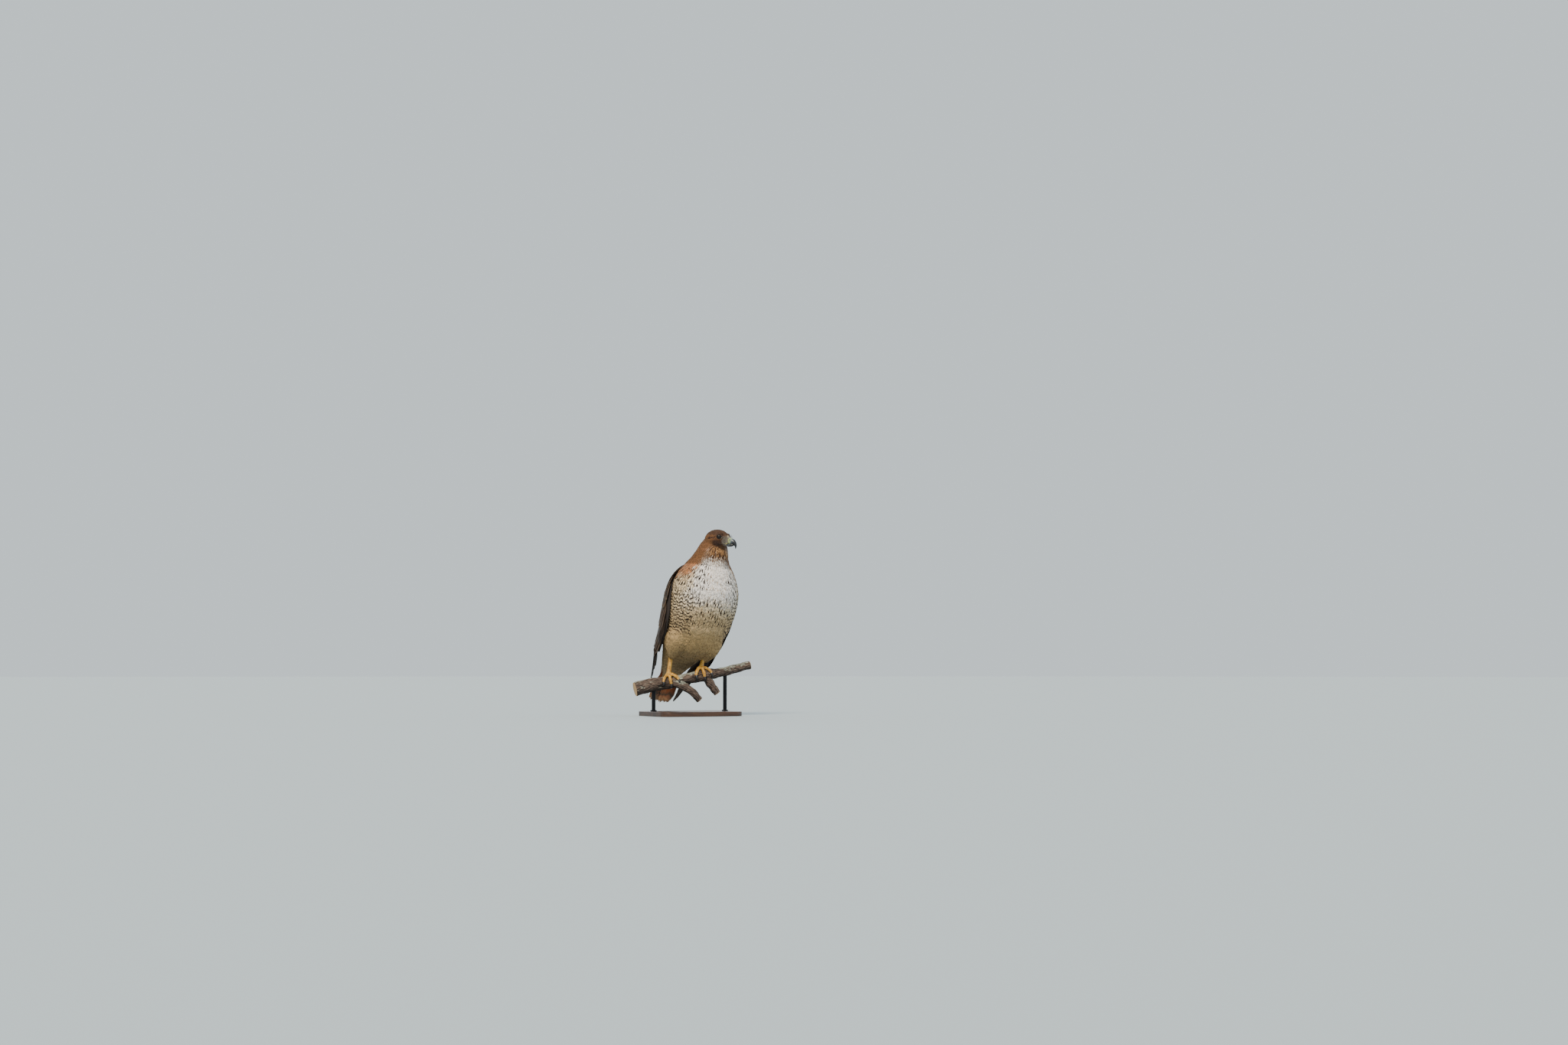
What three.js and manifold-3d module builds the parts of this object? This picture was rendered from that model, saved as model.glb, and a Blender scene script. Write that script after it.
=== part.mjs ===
// A red-tailed hawk gripping a cut length of branch, life-size, on a plain display stand.
// Millimetres, +Z up. The bird faces -Y and its left side is +X. The origin is the centre of the base's
// underside.
import * as THREE from "three";
import { mergeVertices } from "three/addons/utils/BufferGeometryUtils.js";
import Module from "manifold-3d";

const wasm = await Module();
wasm.setup();

// Driving dimensions, in millimetres and degrees
const GAP = 0.4; // air left between two pieces that touch
const FINEST = 0.1; // slivers thinner than this are merged away
const PERCH_TOP = 112; // height of the perch's top midway between the feet
const FEET_X = -12; // that place, left or right of the base's centre
const LEAN = 7.5; // the body leans towards the bird's left, up the slope of the perch
const HEAD_TURN = 31; // the head looks to the bird's left
const HEAD_AT = { left: 3, ahead: 91, up: 347 }; // middle of the braincase, from the feet
const NECK_TOP = 332;
const NECK_BASE = 290;
const TAIL_ROOT = { left: -2, ahead: -50, up: 62 };
const TAIL_TIP = { left: -15, ahead: -131, up: -80 };
const TAIL_FEATHERS_A_SIDE = 6;
const PERCH_HEADING = -12; // the perch's direction in plan, from the bird's own left
const FOOT_SPACING = 87;
const EYE_RADIUS = 8.8;
const BASE = { length: 230, width: 180, thick: 12, corner: 26, bevel: 2 };
const ROD_RADIUS = 5;

// Sections of the body from the coverts under the tail up into the head: centre, then half width, depth in
// front and depth behind
const BODY = [
  { left: -8, ahead: -98, up: -22, side: 20, front: 7, back: 6 },
  { left: -6, ahead: -84, up: 0, side: 30, front: 15, back: 13 },
  { left: -3, ahead: -64, up: 28, side: 43, front: 29, back: 27 },
  { left: 0, ahead: -37, up: 62, side: 60, front: 50, back: 44 },
  { left: 2, ahead: -4, up: 98, side: 78, front: 72, back: 57 },
  { left: 4, ahead: 22, up: 142, side: 90, front: 86, back: 66 },
  { left: 4, ahead: 38, up: 190, side: 93, front: 92, back: 71 },
  { left: 4, ahead: 42, up: 230, side: 89, front: 86, back: 64 },
  { left: 4, ahead: 49, up: 268, side: 71, front: 75, back: 52 },
  { left: 3, ahead: 60, up: 300, side: 48, front: 54, back: 43 },
  { left: 3, ahead: 73, up: 328, side: 37, front: 38, back: 39 },
  { left: 3, ahead: 84, up: 350, side: 24, front: 24, back: 28 },
];

// Sections of the outside of the two folded wings, from the shoulders to the wing tips
const WRAP = [
  { left: 1, ahead: 48, up: 276, side: 56, front: 50, back: 50 },
  { left: 1, ahead: 42, up: 240, side: 86, front: 70, back: 68 },
  { left: 1, ahead: 36, up: 200, side: 98, front: 80, back: 76 },
  { left: 0, ahead: 26, up: 150, side: 98, front: 80, back: 76 },
  { left: -1, ahead: 4, up: 104, side: 92, front: 74, back: 69 },
  { left: -1, ahead: -20, up: 70, side: 85, front: 62, back: 59 },
  { left: -1, ahead: -40, up: 38, side: 79, front: 52, back: 47 },
  { left: -4, ahead: -68, up: 2, side: 64, front: 38, back: 34 },
  { left: -8, ahead: -94, up: -36, side: 50, front: 26, back: 25 },
  { left: -11, ahead: -118, up: -75, side: 40, front: 20, back: 19 },
];

// Degrees round the body, from the breastbone, at which each wing's front edge lies at each section above
const WING_EDGE = {
  right: [112, 95, 81, 71, 67, 70, 74, 84, 92, 96],
  left: [112, 95, 81, 73, 68, 66, 68, 77, 88, 94],
};

// Tiers of a folded wing, undermost first. Each pair of numbers is for the front feather and the back one.
// Root and tip are shares of the way from shoulder to wing tip, and behind gives the degrees behind the wing's
// front edge at a feather's root, then at its tip. Level is the height over the wing's outside, thick the
// thickness at the root.
const TIERS = [
  {
    of: "primaries", count: 5, level: -0.4, thick: 1.6,
    root: [0.54, 0.5], tip: [1, 0.82], behind: [[9, 40], [10, 48]], width: [16, 18],
  },
  {
    of: "secondaries", count: 5, level: -0.6, thick: 2.2,
    root: [0.4, 0.36], tip: [0.7, 0.62], behind: [[14, 88], [17, 95]], width: [36, 38],
  },
  {
    of: "tertials", count: 2, level: 0.2, thick: 2.4,
    root: [0.34, 0.3], tip: [0.54, 0.6], behind: [[70, 92], [74, 100]], width: [34, 36],
  },
  {
    of: "primary coverts", count: 2, level: 0.6, thick: 2.2,
    root: [0.38, 0.36], tip: [0.57, 0.51], behind: [[8, 17], [8, 20]], width: [15, 17],
  },
  {
    of: "greater coverts", count: 5, level: 0.4, thick: 2.6,
    root: [0.28, 0.23], tip: [0.46, 0.41], behind: [[16, 80], [18, 86]], width: [36, 38],
  },
  {
    of: "median coverts", count: 4, level: 1.2, thick: 3,
    root: [0.16, 0.12], tip: [0.3, 0.27], behind: [[14, 60], [17, 68]], width: [38, 38],
  },
  {
    of: "scapulars", count: 4, level: 1.8, thick: 3.4,
    root: [0.03, 0.06], tip: [0.22, 0.44], behind: [[26, 66], [34, 100]], width: [32, 37],
  },
];

// Sections of the head from nape to bill: ahead of its middle, height of the middle, half width, height
// above and depth below
const SKULL = [
  { ahead: -37, mid: -3, side: 10, above: 9, below: 10 },
  { ahead: -29, mid: 0, side: 21, above: 18, below: 21 },
  { ahead: -14, mid: 1, side: 27.5, above: 24.5, below: 26 },
  { ahead: 2, mid: 1, side: 28.5, above: 25.5, below: 26 },
  { ahead: 15, mid: 0, side: 24.5, above: 22.5, below: 21.5 },
  { ahead: 25, mid: -3, side: 17.5, above: 16.5, below: 15 },
  { ahead: 33, mid: -6, side: 11, above: 12, below: 11 },
  { ahead: 38, mid: -8, side: 7.5, above: 9, below: 8.5 },
];

// The bill's midline from the cere to the hook: ahead, up, half width, half height
const BILL = [
  { ahead: 31, up: -6, side: 8.6, tall: 8.6 },
  { ahead: 36, up: -6.2, side: 8, tall: 8.4 },
  { ahead: 41, up: -7, side: 7.1, tall: 7.9 },
  { ahead: 46, up: -9.5, side: 5.8, tall: 7 },
  { ahead: 50, up: -13.5, side: 4.2, tall: 5.2 },
  { ahead: 52.3, up: -18.5, side: 2.6, tall: 3.2 },
  { ahead: 52.6, up: -23.5, side: 1.2, tall: 1.5 },
  { ahead: 52, up: -26.5, side: 0.4, tall: 0.4 },
];
const LOWER_BILL = [
  { ahead: 30, up: -15.5, side: 8, tall: 4.6 },
  { ahead: 38, up: -16, side: 6.6, tall: 4.2 },
  { ahead: 44, up: -16, side: 4.6, tall: 3.2 },
  { ahead: 47.6, up: -15.2, side: 2, tall: 1.4 },
];
const CERE_END = 41; // where the bare cere gives way to horn, ahead of the head's middle
const MOUTH = -12.4; // height of the line of the mouth
const HOOK_FROM = 48.4; // the upper bill is open below the mouth as far ahead as this
const NOSTRIL = { left: 8, ahead: 38.4, up: -3.4, size: [3, 2.3, 1.8], pitch: 20 };

// The line of the mouth runs back from the bill to under the eye, between two raised lips
const GAPE = [
  { left: 9.6, ahead: 33, up: -12.4 },
  { left: 13.2, ahead: 27, up: -12 },
  { left: 18, ahead: 20, up: -11.8 },
  { left: 21.6, ahead: 13, up: -12.4 },
];
const LIP = { rise: 1.3, out: 0.2, radius: 1.5, thinning: 0.7 };
const GROOVE = { out: 1.4, radius: 0.55 };

// The eye on the bird's left, in the head's frame. Half sizes of what surrounds it are across, ahead and up.
const EYE = { left: 17.6, ahead: 13.5, up: 4.5 };
const EYE_FACING = { out: 60, up: 3 }; // degrees from straight ahead, and above the level
const ORBIT = { out: 12, size: [10.5, 7.5, 9.5] };
const BROW = { left: 19.5, ahead: 14.5, up: 12.8, size: [4, 12, 3.2], pitch: -12, turn: 27 };
const LIDS = { thick: 1.6, opening: [6.9, 5.5, 5.6], out: 9.5 };

// The perch from the bird's right to its left: along it, height of its top, radius
const LIMB = [
  { along: -136, top: -25, radius: 18 },
  { along: -85, top: -13, radius: 17.5 },
  { along: -43, top: -9.5, radius: 15.5 },
  { along: 0, top: -2, radius: 13.5 },
  { along: 43, top: 9, radius: 16 },
  { along: 84, top: 12, radius: 12.5 },
  { along: 125, top: 20, radius: 11.5 },
  { along: 172, top: 31, radius: 10.5 },
];

// Side branches, cut short: where along the perch they start, then along, ahead and up from there
const FORKS = [
  { name: "front", from: -42, path: [[0, 0, 0], [22, 16, -8], [48, 21, -24], [70, 20, -46]], radius: 10 },
  { name: "low", from: 50, path: [[0, 0, 0], [9, 5, -18], [20, 6, -34], [31, 6, -48]], radius: 10.5 },
];
const RODS = { right: -86, left: 104 }; // where along the perch each rod of the stand carries it

// Toes from the inner front one round to the one behind: turn about the perch in degrees, slip along it,
// thickness
const TOES = [
  { name: "inner", turn: 82, slip: -21, radius: 4.9, claw: 21 },
  { name: "middle", turn: 104, slip: 1, radius: 4.6, claw: 19 },
  { name: "outer", turn: 84, slip: 22, radius: 4.1, claw: 16 },
  { name: "hind", turn: -80, slip: -6, radius: 4.9, claw: 23 },
];
const CLAW = { root: 3.1, point: 0.35 };
const PAD = { over: 4.6, size: [8.5, 8.5, 5.6] };

// The bare leg and the feathered thigh, a drumstick that hangs over it
const ANKLES = {
  right: { left: -44, ahead: -14, up: 74 },
  left: { left: 45, ahead: 2, up: 76 },
};
const SHANK = { side: 5.1, deep: 6.2, over: 5.5 }; // half width, half depth, its foot's height over the bark
const THIGH_ENDS = { right: 34, left: 33 }; // heights of the lower ends of the thighs' feathers
const THIGH = [
  { out: 40, ahead: 22, up: 120, side: 30, front: 38, back: 30 },
  { out: 45, ahead: 21, up: 92, side: 36, front: 42, back: 34 },
  { out: 47, ahead: 12, up: 66, side: 30, front: 34, back: 27 },
];
const THIGH_HEM = { out: 46, ahead: 5, over: 14, side: 19, front: 21, back: 17 };
const THIGH_END = { side: 9, front: 10, back: 9 };

// The shell that a wing's feathers grow from: how far down the wing and how far round it reaches, how far
// its outside and its rounded rim lie under the wing's own outside, and its inside at the shoulder and the end
const SHELL = { reach: 0.66, backEdge: 168, outside: -2.2, rim: -3, inside: [-16, -7] };

// Tail feathers, counted from the middle pair: each next pair is set out, fanned, shortened and lowered
const TAIL = {
  width: 27, thick: 1.6, set: [1.5, 1.7], fan: [1.6, 2.7],
  shorter: 0.9, ragged: 1.5, lower: 0.95, turned: 0.04,
};
const TAIL_CORE = { side: 15, thick: 3.2, share: 0.5 };

const rad = THREE.MathUtils.degToRad;
const lerp = THREE.MathUtils.lerp;
const at = (left, ahead, up) => new THREE.Vector3(left, -ahead, up);
const place = ({ left = 0, ahead, up }) => at(left, ahead, up);
const LEFT = at(1, 0, 0);

// The body leans about the line between the feet; the head is level again and turned.
const posture = new THREE.Matrix4()
  .makeTranslation(FEET_X, 0, PERCH_TOP)
  .multiply(new THREE.Matrix4().makeRotationY(rad(LEAN)));
const feetFrame = new THREE.Matrix4().makeTranslation(FEET_X, 0, PERCH_TOP);
const headFrame = posture
  .clone()
  .multiply(new THREE.Matrix4().makeTranslation(place(HEAD_AT)))
  .multiply(new THREE.Matrix4().makeRotationY(rad(-LEAN)))
  .multiply(new THREE.Matrix4().makeRotationZ(rad(HEAD_TURN)));

// Solids

// One closed solid from points and triangles, turned to face outwards on either side of the bird
function solid(points, triangles) {
  const vertProperties = new Float32Array(points.flatMap((p) => p.toArray()));
  const volume = triangles.reduce(
    (sum, [a, b, c]) => sum + points[a].dot(points[b].clone().cross(points[c])), 0);
  const order = volume < 0 ? triangles.map(([a, b, c]) => [a, c, b]) : triangles;
  const triVerts = new Uint32Array(order.flat());
  return new wasm.Manifold(new wasm.Mesh({ numProp: 3, vertProperties, triVerts }));
}

// The solid of a three.js geometry, carried into the model's frame
function solidOf(geometry, ...frames) {
  const plain = new THREE.BufferGeometry();
  plain.setAttribute("position", geometry.getAttribute("position").clone());
  if (geometry.index) plain.setIndex(geometry.index);
  frames.reverse().forEach((frame) => plain.applyMatrix4(frame));
  const merged = mergeVertices(plain, 1e-3);
  const places = merged.getAttribute("position");
  const points = Array.from({ length: places.count }, (_, i) =>
    new THREE.Vector3().fromBufferAttribute(places, i));
  const corners = Array.from(merged.index.array);
  const triangles = [];
  for (let i = 0; i < corners.length; i += 3) {
    const [a, b, c] = corners.slice(i, i + 3);
    if (a !== b && b !== c && c !== a) triangles.push([a, b, c]);
  }
  return solid(points, triangles);
}

// A solid through rows of rings: ring(row, side) gives a place for shares 0 to 1 along it and round it
function loft(ring, rows, sides, frame) {
  const points = [];
  const triangles = [];
  for (let row = 0; row <= rows; row++) {
    for (let side = 0; side < sides; side++) points.push(ring(row / rows, side / sides));
  }
  for (let row = 0; row < rows; row++) {
    for (let side = 0; side < sides; side++) {
      const [a, b] = [row * sides + side, row * sides + ((side + 1) % sides)];
      triangles.push([a, b, b + sides], [a, b + sides, a + sides]);
    }
  }
  [0, rows].forEach((row) => {
    const first = row * sides;
    const middle = points.slice(first, first + sides)
      .reduce((sum, p) => sum.add(p), new THREE.Vector3()).divideScalar(sides);
    const hub = points.push(middle) - 1;
    for (let side = 0; side < sides; side++) {
      const [a, b] = [first + side, first + ((side + 1) % sides)];
      triangles.push(row ? [hub, a, b] : [hub, b, a]);
    }
  });
  return solid(points.map((p) => p.applyMatrix4(frame)), triangles);
}

// A thin solid between two faces, split alike on both: over(row, column) and under(row, column) give their
// places
function slab(over, under, rows, columns, frame) {
  const wide = columns + 1;
  const faceSize = (rows + 1) * wide;
  const grid = (face) => Array.from({ length: faceSize }, (_, i) => face(Math.floor(i / wide), i % wide));
  const points = [...grid(over), ...grid(under)];
  const triangles = [];
  for (let row = 0; row < rows; row++) {
    for (let column = 0; column < columns; column++) {
      const a = row * wide + column;
      const [b, c, d] = [a + 1, a + 1 + wide, a + wide];
      triangles.push([a, b, c], [a, c, d]);
      triangles.push([a, c, b].map((i) => i + faceSize), [a, d, c].map((i) => i + faceSize));
    }
  }
  const wall = (a, b) => triangles.push([a, a + faceSize, b + faceSize], [a, b + faceSize, b]);
  const corner = rows * wide;
  for (let column = 0; column < columns; column++) {
    wall(column, column + 1);
    wall(corner + column + 1, corner + column);
  }
  for (let row = 0; row < rows; row++) {
    wall((row + 1) * wide, row * wide);
    wall(row * wide + columns, (row + 1) * wide + columns);
  }
  return solid(points.map((p) => p.applyMatrix4(frame)), triangles);
}

function ellipsoid(middle, size, turn, frame, across = 10, tall = 7) {
  const turned = new THREE.Quaternion().setFromEuler(new THREE.Euler(...turn.map(rad)));
  const shape = new THREE.Matrix4().compose(middle, turned, new THREE.Vector3(...size));
  return solidOf(new THREE.SphereGeometry(1, across, tall), frame, shape);
}

const join = (solids) => solids.reduce((whole, piece) => whole.add(piece));
const cut = (whole, ...tools) => tools.reduce((left, tool) => left.subtract(tool), whole);

// A curve through evenly spaced keys, for places and for sizes alike
const curve = (points) => new THREE.CatmullRomCurve3(points, false, "catmullrom");

// A surface through sections: place(share along, degrees round from the front, height over it)
function surface(sections) {
  const middle = curve(sections.map(place));
  const sizes = curve(sections.map((s) => new THREE.Vector3(s.side, s.front, s.back)));
  return (share, degrees, over = 0) => {
    const along = middle.getTangent(share);
    const across = LEFT.clone().addScaledVector(along, -along.x).normalize();
    const ahead = across.clone().cross(along).multiplyScalar(Math.sign(along.z));
    const size = sizes.getPoint(share);
    const [sin, cos] = [Math.sin(rad(degrees)), Math.cos(rad(degrees))];
    const ends = share === 0 || share === 1 ? Math.min(over, GAP) * (share ? 1 : -1) : 0;
    return middle.getPoint(share)
      .addScaledVector(across, (size.x + over) * sin)
      .addScaledVector(ahead, ((cos > 0 ? size.y : size.z) + over) * cos)
      .addScaledVector(along, ends);
  };
}

const bodyAt = surface(BODY);
const wrapAt = surface(WRAP);

// A feather: a thin blade along line(share), which gives a point on its outer face, the way that it faces
// and the way to its covered edge. The other edge is raised by rise, so that it lies over the next feather.
const BLADE = [
  { along: 0, wide: 0.5, thick: 1 },
  { along: 0.4, wide: 0.9, thick: 1 },
  { along: 0.86, wide: 0.94, thick: 0.6 },
  { along: 1, wide: 0.34, thick: 0.35 },
];
function feather(line, width, thick, rise = 0) {
  const step = 0.02;
  const face = (depth) => (i, edge) => {
    const row = BLADE[i];
    const { point, facing, covered } = line(row.along);
    const ends = [Math.max(row.along - step, 0), Math.min(row.along + step, 1)].map((q) => line(q).point);
    const way = ends[1].sub(ends[0]);
    const across = way.cross(facing).normalize();
    if (across.dot(covered) < 0) across.negate();
    return point.clone()
      .addScaledVector(across, ((edge - 0.5) * row.wide * width))
      .addScaledVector(facing, (1 - 2 * edge) * rise * row.wide - depth * thick * row.thick);
  };
  return slab(face(0), face(1), BLADE.length - 1, 1, posture);
}

// Torso, neck and head are one form, parted by thin cuts square to the spine
const BODY_ROWS = 20;
const BODY_SIDES = 26;
const bodySolid = (grow) =>
  loft((row, side) => bodyAt(row, side * 360, grow), BODY_ROWS, BODY_SIDES, posture);

function shareAtHeight(up) {
  const middle = curve(BODY.map(place));
  let share = 0;
  while (middle.getPoint(share).z < up) share += 0.002;
  return { point: middle.getPoint(share), along: middle.getTangent(share) };
}

// What lies above, or below, a level of the spine, with half the gap kept clear
function beyond(whole, up, above) {
  const { point, along } = shareAtHeight(up);
  const normal = along.clone().transformDirection(posture).multiplyScalar(above ? 1 : -1);
  const reach = point.clone().applyMatrix4(posture).dot(normal) + GAP / 2;
  return whole.trimByPlane(normal.toArray(), reach);
}

// Head
const SKULL_ROWS = 11;
const SKULL_SIDES = 18;
const FULLNESS = 0.9; // under 1 makes the head's sides fuller than an oval's
function skullSolid() {
  const spine = curve(SKULL.map((s) => at(0, s.ahead, s.mid)));
  const sizes = curve(SKULL.map((s) => new THREE.Vector3(s.side, s.above, s.below)));
  return loft((row, side) => {
    const [size, middle] = [sizes.getPoint(row), spine.getPoint(row)];
    const [sin, cos] = [Math.sin(side * 2 * Math.PI), Math.cos(side * 2 * Math.PI)];
    const out = size.x * Math.sign(sin) * Math.abs(sin) ** FULLNESS;
    return middle.add(at(out, 0, (cos > 0 ? size.y : size.z) * cos));
  }, SKULL_ROWS, SKULL_SIDES, headFrame);
}

function eyeDirection(side) {
  const [out, up] = [rad(EYE_FACING.out), rad(EYE_FACING.up)];
  return at(side * Math.sin(out) * Math.cos(up), Math.cos(out) * Math.cos(up), Math.sin(up));
}

const eyeBall = (side, radius) =>
  ellipsoid(at(side * EYE.left, EYE.ahead, EYE.up), [radius, radius, radius], [90, 0, 0], headFrame, 13, 8);

// Bill: the upper half with its hook, the cere round its root, and the lower half
function billRing(grow) {
  const spine = curve(BILL.map((s) => at(0, s.ahead, s.up)));
  const sizes = curve(BILL.map((s) => new THREE.Vector3(s.side, s.tall, 0)));
  return (row, side) => {
    const along = spine.getTangent(row);
    const over = LEFT.clone().cross(along).multiplyScalar(-1).normalize();
    const size = sizes.getPoint(row);
    const [sin, cos] = [Math.sin(side * 2 * Math.PI), Math.cos(side * 2 * Math.PI)];
    return spine.getPoint(row)
      .addScaledVector(LEFT, (size.x + grow) * sin)
      .addScaledVector(over, -(size.y + grow) * cos);
  };
}

function box(low, high, frame) {
  const size = new THREE.Vector3().subVectors(high, low);
  const middle = new THREE.Vector3().addVectors(low, high).divideScalar(2);
  const geometry = new THREE.BoxGeometry(Math.abs(size.x), Math.abs(size.y), Math.abs(size.z));
  return solidOf(geometry, frame, new THREE.Matrix4().makeTranslation(middle));
}

// What lies between two places ahead and two heights in the head's frame, wide enough to cut any of the bill
const CUTTER = { half: 20, back: 10, front: 70, over: 20, under: -40 };
const slice = (back, front, under, over) =>
  box(at(-CUTTER.half, back, over), at(CUTTER.half, front, under), headFrame);

const BILL_ROWS = 10;
const BILL_SIDES = 12;
const billSolid = (grow) => loft(billRing(grow), BILL_ROWS, BILL_SIDES, headFrame);
const upperBill = cut(billSolid(0), slice(CUTTER.back, HOOK_FROM, CUTTER.under, MOUTH));

function lowerBillSolid(grow) {
  const spine = curve(LOWER_BILL.map(place));
  const sizes = curve(LOWER_BILL.map((s) => new THREE.Vector3(s.side, s.tall, 0)));
  const whole = loft((row, side) => {
    const size = sizes.getPoint(row);
    const turn = side * 2 * Math.PI;
    return spine.getPoint(row)
      .add(at((size.x + grow) * Math.sin(turn), 0, (size.y + grow) * Math.cos(turn)));
  }, 6, BILL_SIDES, headFrame);
  return grow ? whole : cut(whole, slice(CUTTER.back, CUTTER.front, MOUTH - GAP, CUTTER.over));
}

function cereSolid() {
  const nostrils = [-1, 1].map((side) => ellipsoid(at(side * NOSTRIL.left, NOSTRIL.ahead, NOSTRIL.up),
    NOSTRIL.size, [NOSTRIL.pitch, 0, 0], headFrame, 7, 5));
  return cut(upperBill, slice(CERE_END - GAP / 2, CUTTER.front, CUTTER.under, CUTTER.over), ...nostrils);
}

const hornSolid = () => cut(upperBill, slice(CUTTER.back, CERE_END + GAP / 2, CUTTER.under, CUTTER.over));

const mouthPath = (side, lift, out) =>
  curve(GAPE.map(({ left, ahead, up }) => at(side * (left + out), ahead, up + lift)));

function tubeAlong(path, radius, rows, sides, frame) {
  const frames = path.computeFrenetFrames(rows, false);
  return loft((row, side) => {
    const i = Math.round(row * rows);
    const turn = side * 2 * Math.PI;
    return path.getPointAt(row)
      .addScaledVector(frames.normals[i], radius(row) * Math.cos(turn))
      .addScaledVector(frames.binormals[i], radius(row) * Math.sin(turn));
  }, rows, sides, frame);
}

function lipsOf(side) {
  const radius = (row) => LIP.radius - LIP.thinning * row;
  return join([1, -1].map((lift) =>
    tubeAlong(mouthPath(side, lift * LIP.rise, LIP.out), radius, 4, 6, headFrame)));
}
const grooveOf = (side) => tubeAlong(mouthPath(side, 0, GROOVE.out), () => GROOVE.radius, 4, 5, headFrame);

function headSolid() {
  let head = join([skullSolid(), beyond(bodySolid(0), NECK_TOP, true)]);
  for (const side of [-1, 1]) {
    const outwards = (reach) =>
      at(side * EYE.left, EYE.ahead, EYE.up).addScaledVector(eyeDirection(side), reach);
    const turned = [0, 0, side * EYE_FACING.out];
    const orbit = ellipsoid(outwards(ORBIT.out), ORBIT.size, turned, headFrame);
    const brow = ellipsoid(at(side * BROW.left, BROW.ahead, BROW.up), BROW.size,
      [BROW.pitch, 0, -side * BROW.turn], headFrame);
    const opening = ellipsoid(outwards(LIDS.out), LIDS.opening, turned, headFrame);
    head = cut(head, orbit).add(eyeBall(side, EYE_RADIUS + LIDS.thick)).add(brow);
    head = cut(head, opening, eyeBall(side, EYE_RADIUS + GAP)).add(lipsOf(side));
    head = cut(head, grooveOf(side));
  }
  return beyond(head, NECK_TOP, true);
}

// Wings: a thin shell over the flank, cut from the body's own form, that all the feathers grow from
const edgeAt = (side, share) => {
  const edge = WING_EDGE[side > 0 ? "left" : "right"];
  const step = share * (edge.length - 1);
  const before = Math.min(Math.floor(step), edge.length - 2);
  return lerp(edge[before], edge[before + 1], step - before);
};

const SHELL_ROWS = 10;
const SHELL_RIBS = 8;
function wingShell(side) {
  const face = (over) => (row, rib) => {
    const share = (row / SHELL_ROWS) * SHELL.reach;
    const degrees = lerp(edgeAt(side, share) + 2, SHELL.backEdge, rib / SHELL_RIBS);
    const fromEdge = (Math.min(rib, SHELL_RIBS - rib) * 5) / SHELL_RIBS;
    const fromEnd = ((SHELL_ROWS - row) * 6) / SHELL_ROWS;
    return wrapAt(share, side * degrees, over(row / SHELL_ROWS, Math.min(1, fromEdge, fromEnd)));
  };
  const outside = face((row, rim) => SHELL.rim * (1 - rim) ** 2 + SHELL.outside);
  const inside = face((row) => lerp(...SHELL.inside, row));
  return slab(outside, inside, SHELL_ROWS, SHELL_RIBS, posture);
}

// Each feather comes up out of the shell over the first part of its length, and every other tip is shorter
const RISE = { depth: 1.5, over: 0.59, edge: 1 };
const STAGGER = 0.008;
function wingFeathers(side) {
  return TIERS.flatMap(({ count, root, tip, behind, width, level, thick }) =>
    Array.from({ length: count }, (_, i) => {
      const share = i / (count - 1);
      const from = lerp(...root, share);
      const to = lerp(...tip, share) - STAGGER * (i % 2);
      const angles = behind.map((pair) => lerp(...pair, share));
      const line = (q) => {
        const here = lerp(from, to, q);
        const degrees = side * (edgeAt(side, here) + lerp(...angles, q));
        const over = lerp(level - thick - RISE.depth, level, Math.min(1, q / RISE.over));
        const point = wrapAt(here, degrees, over);
        return {
          point,
          facing: wrapAt(here, degrees, over + 5).sub(point).normalize(),
          covered: wrapAt(here, degrees + side * 5, over).sub(point),
        };
      };
      return feather(line, lerp(...width, share), thick, RISE.edge);
    }));
}

// Tail: overlapping feathers, the middle pair uppermost, that fan a little from a root under the coverts
function tailSolid() {
  const [root, tip] = [TAIL_ROOT, TAIL_TIP].map(place);
  const along = tip.clone().sub(root).normalize();
  const across = LEFT.clone().addScaledVector(along, -along.x).normalize();
  const back = along.clone().cross(across).multiplyScalar(-1).normalize();
  const length = tip.distanceTo(root);
  const pieces = [loft((row, side) => root.clone()
    .addScaledVector(along, row * length * TAIL_CORE.share)
    .addScaledVector(across, TAIL_CORE.side * Math.cos(side * 2 * Math.PI))
    .addScaledVector(back, TAIL_CORE.thick * (Math.sin(side * 2 * Math.PI) - 0.75)), 2, 12, posture)];
  for (let i = TAIL_FEATHERS_A_SIDE - 1; i >= 0; i--) {
    [-1, 1].forEach((side) => {
      const isLeft = side > 0 ? 1 : 0;
      const reach = length - TAIL.shorter * i - TAIL.ragged * ((i + isLeft) % 2);
      const [set, fan] = [TAIL.set, TAIL.fan].map(([first, step]) => side * (first + step * i));
      const line = (q) => ({
        point: root.clone()
          .addScaledVector(along, q * reach)
          .addScaledVector(across, set + q * fan)
          .addScaledVector(back, -TAIL.lower * i - GAP * isLeft),
        facing: back.clone().addScaledVector(across, side * TAIL.turned * i).normalize(),
        covered: across.clone().multiplyScalar(-side),
      });
      pieces.push(feather(line, TAIL.width, TAIL.thick));
    });
  }
  return join(pieces);
}

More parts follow.
